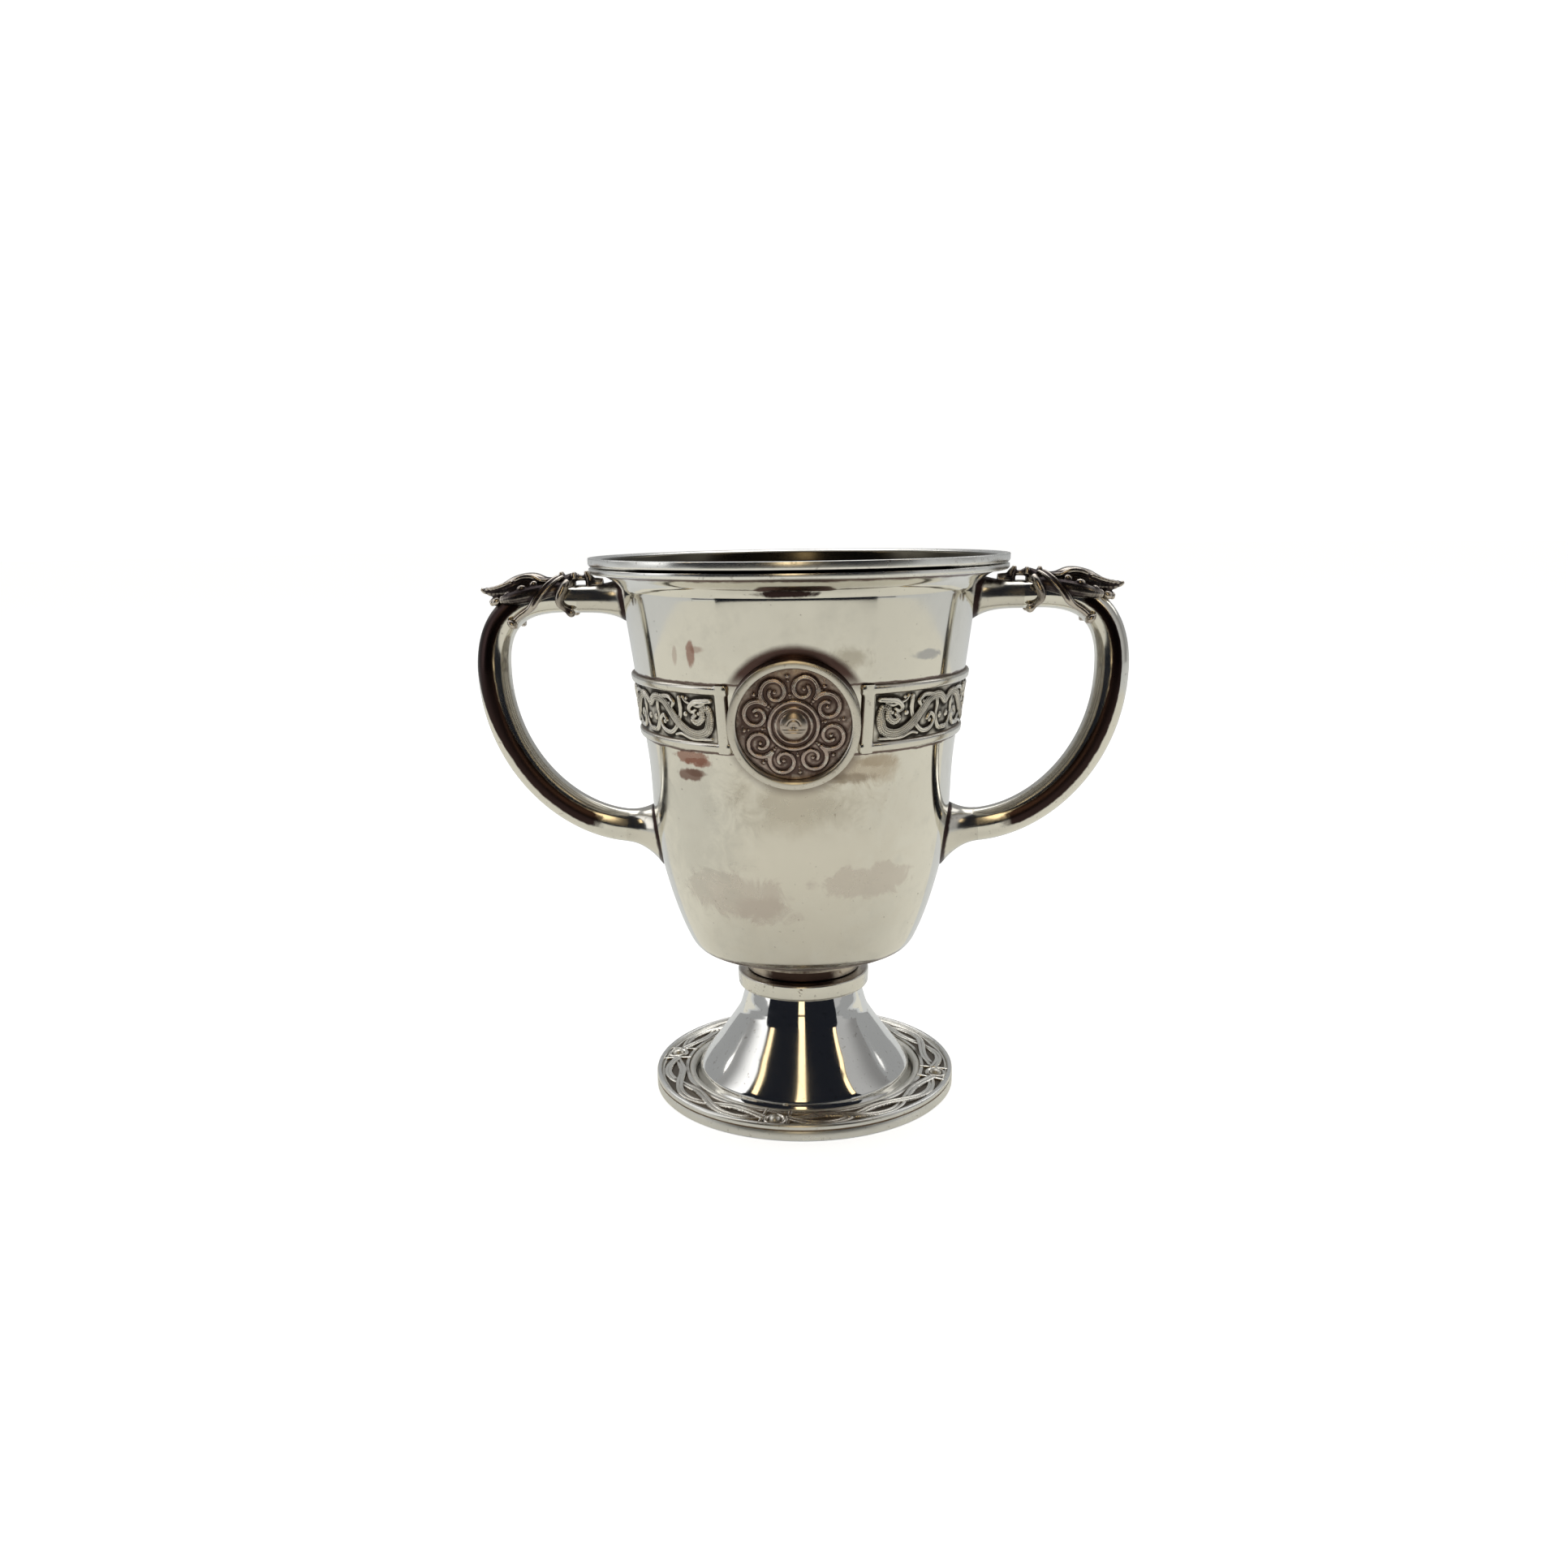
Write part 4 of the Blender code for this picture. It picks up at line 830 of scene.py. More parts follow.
def make_border(inner, outer):
    """Cast border: two grooved strands that cross between the studs and leave long eyes open."""
    columns, rows = BORDER_GRID
    turns = np.arange(columns) * math.tau / columns
    grid_turn, grid_across = np.meshgrid(turns, np.linspace(0.0, 1.0, rows), indexing="ij")
    middle_radius = (inner + outer) / 2 * 1000
    half = (outer - inner) / 2 * 1000
    quarter = 360 / STUD_COUNT
    past_stud = (np.degrees(grid_turn) + 90 - math.degrees(FIRST_STUD_TURN)) % quarter
    along = np.radians(past_stud - STUD_PLATE_TURN) * middle_radius
    offset = (grid_across * 2 - 1) * half
    length = math.radians(quarter - 2 * STUD_PLATE_TURN) * middle_radius
    loop = length / LOOPS_BETWEEN_STUDS
    heights = np.zeros(grid_turn.shape)
    local = np.stack([along.ravel(), offset.ravel()], 1)
    run = np.linspace(-0.6, length + 0.6, 200)
    for sign in (1, -1):
        lift = BORDER_LIFT + BORDER_CROSSING * sign * np.cos(math.pi * run / loop)
        line = np.stack([run, sign * BORDER_SWING * np.sin(math.pi * run / loop), lift], 1)
        heights = raised(heights, [strand(local, line, STRAND_WIDTH, STRAND_CROWN, STRAND_GROOVE)])
    for end in (-0.5, length + 0.5):
        bar = np.array([(end, -half, 0.34), (end, half, 0.34)])
        heights = raised(heights, [strand(local, bar, 0.42, 0.24)])
    inner_rail = np.clip((0.95 - half - offset) / 0.25, 0.0, 1.0) * 0.34
    outer_rail = np.exp(-(((offset - half + 0.42) / 0.30) ** 2)) * 0.52
    heights = raised(heights, [inner_rail, outer_rail])
    stud_ring = FOOT_RADIUS - FOOT_EDGE_LIP - STUD_INSET
    for i in range(STUD_COUNT):
        turn = FIRST_STUD_TURN - math.pi / 2 + math.tau * i / STUD_COUNT
        radius = inner * 1000 + grid_across * half * 2
        x = radius * np.cos(grid_turn) - stud_ring * 1000 * math.cos(turn)
        y = radius * np.sin(grid_turn) - stud_ring * 1000 * math.sin(turn)
        gap = np.hypot(x, y)
        ring = np.exp(-(((gap - STUD_PLATE_RING) / 0.36) ** 2))
        plate = STUD_PLATE_HEIGHTS[0] + STUD_PLATE_HEIGHTS[1] * ring
        heights = np.where(gap < STUD_PLATE_RADIUS, plate, heights)
    top = BORDER_BASE + BORDER_FLOOR[0] + BORDER_FLOOR[1] * (1 - grid_across)
    front = on_turns(inner + grid_across * (outer - inner), grid_turn, top + (heights - 0.10) * 0.001 * 0.85)
    backs = [on_turns(radius, turns, BRIM_HEIGHT) for radius in (inner, outer)]
    points, faces, relief = closed_sheet(front, backs, cavity(heights, 8, 0.75, wrap=True), 0.3, True)
    piece("foot_border", points, faces, "border", relief)


def make_studs():
    """Low studs on the border, which lean a little outwards with it."""
    ring = FOOT_RADIUS - FOOT_EDGE_LIP - STUD_INSET
    outline = [(0.0, STUD_HEIGHT)]
    outline += [(x * STUD_RADIUS, y * STUD_HEIGHT) for x, y in arc((0.0, 0.0), 1.0, 80, 0, 8)]
    outline += [(STUD_RADIUS, -STUD_SINK), (0.0, -STUD_SINK)]
    seat = Matrix.Translation((0.0, -ring, STUD_SEAT_Z))
    for i in range(STUD_COUNT):
        place = Matrix.Rotation(FIRST_STUD_TURN + math.tau * i / STUD_COUNT, 4, "Z")
        place = place @ seat @ Matrix.Rotation(STUD_LEAN, 4, "X")
        turned_piece(f"foot_stud_{i + 1}", outline, "wire", None, False, 48, place)


def make_stem():
    """Knop ring with an upright face, and the waisted collar over it with two fine lines."""
    top, base = KNOP_BASE_Z + KNOP_HEIGHT, KNOP_BASE_Z
    outline = [(KNOP_RADIUS - 0.0016, top), (KNOP_RADIUS - 0.0008, top - 0.0001)]
    outline += arc((KNOP_RADIUS - 0.0005, top - 0.0006), KNOP_TOP_CORNER, 80, 0, 5)
    outline += arc((KNOP_RADIUS - 0.0008, base + 0.0009), KNOP_BASE_CORNER, 0, -70, 5)
    outline += [(KNOP_RADIUS - 0.0011, base), (STEM_BORE, base), (STEM_BORE, top)]
    turned_piece("knop_ring", outline, "knop")
    top, base = COLLAR_BASE_Z + COLLAR_HEIGHT, COLLAR_BASE_Z
    undercut = COLLAR_WAIST_RADIUS - COLLAR_UNDERCUT
    shoulder = [(COLLAR_RADIUS, top), (COLLAR_WAIST_RADIUS + 0.0002, top - 0.0012)]
    outline = [tuple(p) for p in smooth_outline(shoulder, 6)]
    for drop in COLLAR_LINES:
        line = top - drop
        outline += [(COLLAR_WAIST_RADIUS, line + 0.00015), (COLLAR_WAIST_RADIUS - COLLAR_LINE_DEPTH, line)]
        outline.append((COLLAR_WAIST_RADIUS, line - 0.00015))
    outline.append((COLLAR_WAIST_RADIUS, top - COLLAR_UNDERCUT_DROP + 0.0001))
    outline += [(undercut, top - COLLAR_UNDERCUT_DROP - 0.0001), (undercut, base)]
    outline += [(STEM_BORE, base), (STEM_BORE, top)]
    # painted shade in the collar's undercut, and a lighter darkening of its face, only in front and at the
    # back
    grime_and_shade = [1.0 if radius < COLLAR_WAIST_RADIUS - 0.0001 else 0.55 for radius, _ in outline]
    turned_piece("stem_collar", outline, "collar", np.outer(grime_and_shade, front_share(0.60, 1.0)).ravel())


# Band


def band_end_turn(inset):
    """The turn from the +X axis at which the band's right half ends, at a distance from the middle plane."""
    return math.acos(min((MEDALLION_RADIUS + inset) / (wall_radius(BAND_MIDDLE_Z) + FRAME_PROUD), 1.0))


def rounded(distance, width):
    """The swell of a rail over its width, from 0 to 1."""
    share = np.clip(distance / width, 0.0, 1.0)
    return np.clip(1 - (2 * share - 1) ** 4, 0.0, 1.0) * (distance < width)


def add_band_sheets(names, front, relief, turns, levels, look, sharp):
    """The right half of a band sheet, which ends in the bowl's wall, and its copy on the left."""
    backs = [on_turns(wall_radius(level) - SHEET_SINK, turns, level) for level in levels]
    points, faces, values = closed_sheet(front, backs, relief, 0.2, False)
    add_pair(names, points, faces, look, values, sharp)


def make_band_frames():
    """Rails and end bars of each half of the band: one sheet with a sunk window."""
    columns, rows = FRAME_GRID
    end = band_end_turn(0.0002)
    turns = np.linspace(-end, end, columns)
    grid_turn, grid_z = np.meshgrid(turns, np.linspace(BAND_BOTTOM_Z, BAND_TOP_Z, rows), indexing="ij")
    radius = wall_radius(grid_z)
    from_edge = np.minimum(grid_z - BAND_BOTTOM_Z, BAND_TOP_Z - grid_z) * 1000
    from_end = (end - np.abs(grid_turn)) * radius * 1000
    bead = np.maximum(rounded(from_edge, BAND_RAIL * 1000), rounded(from_end, BAND_END_BAR * 1000))
    proud = -FRAME_SINK + (FRAME_PROUD + FRAME_SINK) * np.sqrt(bead)
    relief = np.clip(0.15 + bead * 0.6, 0.0, 1.0)
    front = on_turns(radius + proud, grid_turn, grid_z)
    add_band_sheets("band_frame_{}", front, relief, turns, (BAND_BOTTOM_Z, BAND_TOP_Z), "frame", 60)


def panel_strands():
    """Lines of the panel's interlace in mm: along the band from its end bar, height, lift and width share."""
    body = [
        (4.9, 0.6, 0.30, 0.50), (5.6, -0.4, 0.30, 0.60), (4.4, -0.9, 0.30, 0.70), (3.0, 0.2, 0.30, 0.80),
        (2.9, 1.6, 0.24, 0.85), (1.7, 2.0, 0.20, 0.9), (1.25, -0.2, 0.26, 1.0), (2.2, -2.6, 0.30, 1.0),
        (4.9, -3.4, 0.34, 1.0), (7.6, -2.7, 0.36, 1.05), (10.2, -0.9, 0.40, 1.1), (12.3, 1.2, 0.34, 1.1),
        (14.6, 3.0, 0.26, 1.0), (17.6, 3.3, 0.30, 0.9), (19.9, 1.9, 0.38, 0.8),
    ]
    crest = [
        (0.9, 3.7, 0.30, 0.9), (2.9, 3.5, 0.34, 1.0), (4.9, 3.2, 0.34, 1.0),
        (6.3, 2.0, 0.30, 0.9), (5.6, 1.2, 0.24, 0.7), (4.6, 1.7, 0.24, 0.5),
    ]
    limb = [
        (8.9, 3.9, 0.30, 1.0), (8.8, 2.2, 0.30, 1.0), (9.2, 0.3, 0.10, 1.0),
        (10.4, -1.9, 0.12, 1.0), (12.6, -3.5, 0.30, 1.0), (15.0, -3.2, 0.32, 1.0),
        (16.2, -1.4, 0.30, 0.9), (15.0, -0.2, 0.26, 0.8), (13.9, -1.2, 0.24, 0.6),
    ]
    wing = [
        (20.4, -3.6, 0.30, 1.0), (18.2, -3.4, 0.30, 1.0), (16.8, -1.0, 0.12, 1.0), (17.0, 1.6, 0.16, 1.0),
        (15.8, 3.4, 0.12, 0.9), (12.6, 3.9, 0.30, 0.9), (10.9, 2.9, 0.34, 0.8), (11.3, 2.0, 0.30, 0.6),
    ]
    tendril = [
        (2.3, 3.0, 0.24, 1.0), (3.6, 2.5, 0.20, 1.0), (4.6, 2.5, 0.16, 0.9),
        (7.0, 3.2, 0.20, 0.9), (7.9, 4.2, 0.24, 0.8),
    ]
    curl = [
        (1.2, -4.2, 0.20, 1.0), (2.6, -4.3, 0.20, 1.0), (6.4, -4.4, 0.20, 1.0),
        (9.4, -3.6, 0.22, 1.0), (11.2, -3.9, 0.20, 0.9),
    ]
    return (
        (body, 0.92, 0.34, 0.0, 0.15),
        (crest, 0.55, 0.30, 0.14, 0.0),
        (limb, 0.50, 0.30, 0.16, 0.0),
        (wing, 0.50, 0.30, 0.16, 0.0),
        (tendril, 0.34, 0.24, 0.0, 0.0),
        (curl, 0.32, 0.22, 0.0, 0.0),
    )


# Pellets among the strands: along the band, height and radius
PELLETS = (
    (4.0, 0.9, 0.42), (7.7, 0.6, 0.55), (14.9, -1.6, 0.5),
    (6.9, 3.9, 0.36), (18.6, -1.0, 0.7), (12.1, 2.6, 0.4),
)


def make_band_panels():
    """Cast panels: beasts that twine through their own limbs, mirrored about the handle's plane."""
    columns, rows = PANEL_GRID
    end = band_end_turn(BAND_END_BAR + 0.0002)
    turns = np.linspace(-end, end, columns)
    low = BAND_BOTTOM_Z + BAND_RAIL - 0.0001
    high = BAND_TOP_Z - BAND_RAIL + 0.0001
    grid_turn, grid_z = np.meshgrid(turns, np.linspace(low, high, rows), indexing="ij")
    radius = wall_radius(BAND_MIDDLE_Z)
    along = (end - np.abs(grid_turn)) * radius * 1000
    up = (grid_z - BAND_MIDDLE_Z) * 1000
    stretch = end * radius * 1000 / (PANEL_UNIT * PANEL_COPIES)
    heights = np.zeros(grid_turn.shape)
    for k in range(PANEL_COPIES):
        local_x = (along / stretch) - k * PANEL_UNIT
        if k % 2:
            local_x = PANEL_UNIT - local_x
        field = np.stack([local_x.ravel(), up.ravel()], 1)
        shapes = [
            strand(field, curve_through(knots), width, crown, groove, hatch)
            for knots, width, crown, groove, hatch in panel_strands()
        ]
        shapes += [ball(field, (x, y), size, 0.34, 0.06, 0.12) for x, y, size in PELLETS]
        heights = raised(heights, shapes)
    proud = PANEL_FLOOR + PANEL_RELIEF * heights / 0.72
    front = on_turns(wall_radius(grid_z) + proud, grid_turn, grid_z)
    add_band_sheets("band_panel_{}", front, cavity(heights, 9, 0.85), turns, (low, high), "panel", 75)


# Medallions


def medallion_place(turn):
    """The frame of a medallion: its face is the XY plane and Z points outwards."""
    tilt = wall_tilt()
    outwards = Vector((0.0, -math.cos(tilt), -math.sin(tilt)))
    wall = Vector((0.0, -float(wall_radius(BAND_MIDDLE_Z)), BAND_MIDDLE_Z))
    seat = Matrix.Translation(wall + outwards * MEDALLION_STANDOFF)
    front = seat @ Matrix.Rotation(math.pi / 2 + tilt, 4, "X")
    return Matrix.Rotation(turn, 4, "Z") @ front


# The disc's ornament, in mm
SCROLL_COUNT = 8
SCROLL_RING = 7.50
SCROLL_REACH = 2.88
SCROLL_POINTS = 30
BETWEEN_PELLETS = ((9.75, 0.42), (8.85, 0.30), (6.15, 0.36), (5.6, 0.24))


def disc_heights(x, y):
    """Heights in mm of the disc's ornament: a plain ring and eight scrolls round it."""
    field = np.stack([x.ravel(), y.ravel()], 1)
    radius = np.hypot(field[:, 0], field[:, 1])
    ring = 0.45 * np.exp(-(((radius - 4.75) / 0.42) ** 4))
    inner_ring = 0.28 * np.exp(-(((radius - 3.5) / 0.30) ** 2))
    heights = raised(np.zeros(len(field)), [ring, inner_ring])
    for i in range(SCROLL_COUNT):
        turn = math.radians(16 + 360 / SCROLL_COUNT * i)
        flip = 1 if i % 2 else -1
        line = []
        for k in range(SCROLL_POINTS):
            share = k / (SCROLL_POINTS - 1)
            bend = math.radians(-112 + 430 * share) * flip
            reach = SCROLL_REACH * (1 - 0.68 * share**1.2)
            spot = (reach * math.sin(bend), SCROLL_RING + reach * math.cos(bend))
            line.append((*spot, 0.22 - 0.16 * share, 1.0 - 0.3 * share))
        line = np.array(line)
        turned = line.copy()
        turned[:, 0] = line[:, 0] * math.cos(turn) + line[:, 1] * math.sin(turn)
        turned[:, 1] = -line[:, 0] * math.sin(turn) + line[:, 1] * math.cos(turn)
        eye = (SCROLL_RING * math.sin(turn), SCROLL_RING * math.cos(turn))
        shapes = [strand(field, turned, 0.52, 0.40, groove=0.10), ball(field, eye, 0.42, 0.30, 0.05)]
        between = turn + math.pi / SCROLL_COUNT
        for reach, size in BETWEEN_PELLETS:
            bead = (reach * math.sin(between), reach * math.cos(between))
            shapes.append(ball(field, bead, size, 0.30, 0.02))
        heights = raised(heights, shapes)
    return (heights + 0.75 * (1 - (radius / 11.2) ** 2) - 0.45).reshape(x.shape)


def boss_rise(x, y):
    """Height in mm of the boss over its base: a polished dome with a deep dimple and two lines under it."""
    radius = np.hypot(x, y)
    share = np.clip(radius / (BOSS_RADIUS * 1000), 0.0, 1.0)
    dome = BOSS_HEIGHT * 920 * np.sqrt(np.maximum(1 - share**2, 0.0))
    dimple = 0.45 * np.exp(-((radius / 0.55) ** 2))
    lines = sum(0.12 * np.exp(-(((y - level) / 0.12) ** 2)) for level in (-0.55, -1.15)) * (share < 0.85)
    arch = 0.10 * np.exp(-(((radius - 1.35) / 0.16) ** 2)) * (y > 0.2)
    return dome - dimple - lines - arch


def polar_piece(node, rise, grid, edge, depth, place, look, reach, scale):
    """A round plate with an ornament over its face and a plain side down to a depth."""
    rings, columns = grid
    turns = np.arange(columns) * math.tau / columns
    grid_turn, grid_radius = np.meshgrid(turns, np.linspace(0.0, edge, rings + 1)[1:], indexing="ij")
    x = grid_radius * np.cos(grid_turn) * 1000
    y = grid_radius * np.sin(grid_turn) * 1000
    heights = rise(x, y)
    front = np.stack([x / 1000, y / 1000, heights / 1000], 2)
    foot = on_turns(edge, turns, -depth)[:, None, :]
    middle = float(rise(np.zeros(1), np.zeros(1))[0]) / 1000
    points = np.vstack([np.concatenate([front, foot], 1).reshape(-1, 3), [[0.0, 0.0, middle]]])
    relief = cavity(heights, reach, scale, wrap=True)
    values = np.concatenate([relief, np.full((columns, 1), 0.2)], 1).ravel()
    step = rings + 1
    starts = [i * step for i in range(columns)]
    faces = grid_faces(columns, rings + 1, step, True)
    faces += [(there, here, columns * step) for here, there in zip(starts, starts[1:] + starts[:1])]
    faces.append([start + rings for start in starts])
    points = [place @ Vector(p) for p in points]
    piece(node, points, faces, look, np.append(values, values[0]), 75)


def seat_on_wall(points, axis):
    """Points of the bezel that would reach through the bowl, drawn back along an axis into its wall."""
    points = np.array(points)
    for _ in range(4):
        seat = wall_radius(points[:, 2]) - BEZEL_SINK
        wanted = np.sqrt(np.maximum(seat**2 - points[:, 0] ** 2, 0.0)) * np.sign(points[:, 1])
        deep = np.hypot(points[:, 0], points[:, 1]) < seat
        shift = np.where(deep, (wanted - points[:, 1]) / axis[1], 0.0)
        points = points + shift[:, None] * np.array(axis)
    return points


def make_medallions():
    """Bezel, disc and boss of the front medallion and of the back one."""
    inner = MEDALLION_RADIUS - BEZEL_WIDTH
    depth = MEDALLION_STANDOFF + BEZEL_REACH
    outline = [(inner + step, -drop) for step, drop in BEZEL_LIP]
    outline += [(MEDALLION_RADIUS - BEZEL_CORNER, 0.0), (MEDALLION_RADIUS - 0.0001, -0.0001)]
    outline += [(MEDALLION_RADIUS, -BEZEL_CORNER), (MEDALLION_RADIUS, -BEZEL_CLEAN_DEPTH)]
    outline += [(MEDALLION_RADIUS, -depth), (inner, -depth)]
    # painted shade: the bezel's side is darkened on its upper part and near the bowl's wall
    side = np.repeat([float(height < -BEZEL_CORNER / 2) for _, height in outline], TURN_STEPS)
    deep = np.repeat([float(height < -BEZEL_CLEAN_DEPTH - 0.0001) for _, height in outline], TURN_STEPS)
    loop, faces = revolve(outline, TURN_STEPS)
    for word, turn in (("front", 0.0), ("back", math.pi)):
        place = medallion_place(turn)
        points = seat_on_wall([place @ Vector(p) for p in loop], place.col[2][:3])
        upper = np.clip((points[:, 2] - BAND_MIDDLE_Z) / MEDALLION_RADIUS * 3.0 - 1.0, 0.0, 1.0)
        medallion = f"{word}_medallion"
        piece(f"{medallion}_bezel", points, faces, "bezel", np.maximum(deep, side * upper))
        seat = place @ Matrix.Translation((0.0, 0.0, -DISC_SEAT))
        plate = MEDALLION_STANDOFF - DISC_SEAT
        polar_piece(f"{medallion}_disc", disc_heights, DISC_GRID, inner - 0.0001, plate, seat, "disc", 5, 0.7)
        seat = seat @ Matrix.Translation((0.0, 0.0, BOSS_LIFT))
        polar_piece(f"{medallion}_boss", boss_rise, BOSS_GRID, BOSS_RADIUS, 0.0004, seat, "boss", 4, 0.35)


# Handles


def bar_knots():
    """Bezier corners of the right-hand bar's two spans, in the XZ plane."""
    start = np.array([float(wall_radius(HANDLE_TOP_Z)) + UPPER_SOCKET[0], HANDLE_TOP_Z])
    widest = np.array([HANDLE_REACH, HANDLE_WIDEST_Z])
    foot = np.array([float(wall_radius(HANDLE_FOOT_Z)) + LOWER_SOCKET[0], HANDLE_FOOT_Z])
    slope = np.array([math.cos(HANDLE_FOOT_SLOPE), math.sin(HANDLE_FOOT_SLOPE)])
    upper = (start, start + (UPPER_BEND_REACH, 0.0), widest + (0.0, UPPER_BEND_RISE), widest)
    lower = (widest, widest - (0.0, LOWER_BEND_DROP), foot + slope * LOWER_BEND_REACH, foot)
    return upper, lower


def bar_path(steps):
    """Points along the middle of the right-hand bar, from its upper end to its lower one."""
    upper, lower = bar_knots()
    points = [on_bezier(upper, i / steps) for i in range(steps)]
    points += [on_bezier(lower, i / steps) for i in range(steps + 1)]
    return np.array(points)


PATH = bar_path(BAR_STEPS)
PATH_RUN = np.concatenate([[0.0], np.cumsum(np.hypot(*np.diff(PATH, axis=0).T))])
UPPER_RUN = PATH_RUN[BAR_STEPS]


def bar_radius(run):
    """The bar's radius at a length along it."""
    return HANDLE_TOP_RADIUS + (HANDLE_RADIUS - HANDLE_TOP_RADIUS) * fade(run, UPPER_RUN)


def outward_side(line):
    """For each point of a line in the XZ plane, the direction at right angles to it, away from the bowl."""
    along = np.gradient(line, axis=0)
    return np.stack([-along[:, 1], along[:, 0]], 1) / np.hypot(along[:, 0], along[:, 1])[:, None]


def on_bar(run, lift, turn=0.0):
    """A point at a length along the right-hand bar, a lift off its middle and a turn from its outer side."""
    if run < 0.0:
        middle = np.array([PATH[0][0] + run, PATH[0][1]])
        outwards = np.array([0.0, 1.0])
    else:
        i = min(max(int(np.searchsorted(PATH_RUN, run)) - 1, 0), len(PATH) - 2)
        along = (PATH[i + 1] - PATH[i]) / np.hypot(*(PATH[i + 1] - PATH[i]))
        middle = PATH[i] + along * (run - PATH_RUN[i])
        outwards = np.array([-along[1], along[0]])
    flat = middle + outwards * lift * math.cos(turn)
    return np.array([flat[0], lift * math.sin(turn), flat[1]])


def tube(points, radii, sides):
    """Points and faces of a round tube along a line, closed at both ends with flat caps."""
    line = np.asarray(points, float)
    count = len(line)
    tangents = np.gradient(line, axis=0)
    tangents /= np.linalg.norm(tangents, axis=1)[:, None]
    side = np.cross(tangents[0], (0.0, 1.0, 0.0))
    if np.linalg.norm(side) < 1e-3:
        side = np.cross(tangents[0], (0.0, 0.0, 1.0))
    side /= np.linalg.norm(side)
    verts = []
    for i in range(count):
        side = side - tangents[i] * (side @ tangents[i])
        side /= np.linalg.norm(side)
        other = np.cross(tangents[i], side)
        for k in range(sides):
            turn = math.tau * k / sides
            verts.append(line[i] + radii[i] * (side * math.cos(turn) + other * math.sin(turn)))
    faces = []
    for i in range(count - 1):
        for k in range(sides):
            n = (k + 1) % sides
            faces.append((i * sides + k, i * sides + n, (i + 1) * sides + n, (i + 1) * sides + k))
    faces.append(list(range(sides))[::-1])
    faces.append([(count - 1) * sides + k for k in range(sides)])
    return np.array(verts), faces


# Painted dark reflection along a bar: lengths from its upper end in metres, and edges as shares of its radius
DARK_REFLECTION_START = (0.011, 0.003)
DARK_REFLECTION_END = (0.003, 0.006)
DARK_REFLECTION_FALL = (0.028, 0.020)
DARK_REFLECTION_TOP = {"right": 0.50, "left": 1.0}
DARK_REFLECTION_LOWER_TOP = 0.46
DARK_REFLECTION_INNER = (-0.25, -0.32)


def bar_dark_reflection(side, run, length, rise):
    """Painted dark reflection along a bar's outer side, which moves towards its inner side further down."""
    ends = fade(run - DARK_REFLECTION_START[0], DARK_REFLECTION_START[1])
    ends = ends * fade(length - DARK_REFLECTION_END[0] - run, DARK_REFLECTION_END[1])
    fall = fade(run - DARK_REFLECTION_FALL[0], DARK_REFLECTION_FALL[1])
    outer = DARK_REFLECTION_TOP[side] + (DARK_REFLECTION_LOWER_TOP - DARK_REFLECTION_TOP[side]) * fall
    inner = DARK_REFLECTION_INNER[0] + DARK_REFLECTION_INNER[1] * fall
    return ends * fade(rise - inner, 0.20) * fade(outer - rise, 0.14)


def make_handles():
    """Round bars, each from its upper socket to its lower one."""
    runs = np.linspace(0.0, PATH_RUN[-1], BAR_RINGS)
    across, height = (np.interp(runs, PATH_RUN, PATH[:, axis]) for axis in (0, 1))
    middle = np.stack([across, np.zeros(BAR_RINGS), height], 1)
    start = middle[0] - (BAR_END, 0.0, 0.0)
    slope = np.array([math.cos(HANDLE_FOOT_SLOPE), 0.0, math.sin(HANDLE_FOOT_SLOPE)])
    line = np.vstack([[start], middle, [middle[-1] - slope * BAR_END]])
    radii = np.concatenate([[HANDLE_TOP_RADIUS], bar_radius(runs), [HANDLE_RADIUS]])
    points, faces = tube(line, radii, BAR_SIDES)
    away = (points - np.repeat(line, BAR_SIDES, axis=0))[:, ::2]
    outwards = outward_side(line[:, ::2])
    rise = (away * np.repeat(outwards, BAR_SIDES, axis=0)).sum(1) / np.repeat(radii, BAR_SIDES)
    run = np.repeat(np.concatenate([[0.0], runs, [runs[-1]]]), BAR_SIDES)
    for side, sign in SIDES:
        # painted dark reflection along the bar, set differently on each side
        grime_and_shade = bar_dark_reflection(side, run, runs[-1], rise)
        piece(f"{side}_handle_bar", points * (sign, sign, 1), faces, "handle", grime_and_shade)


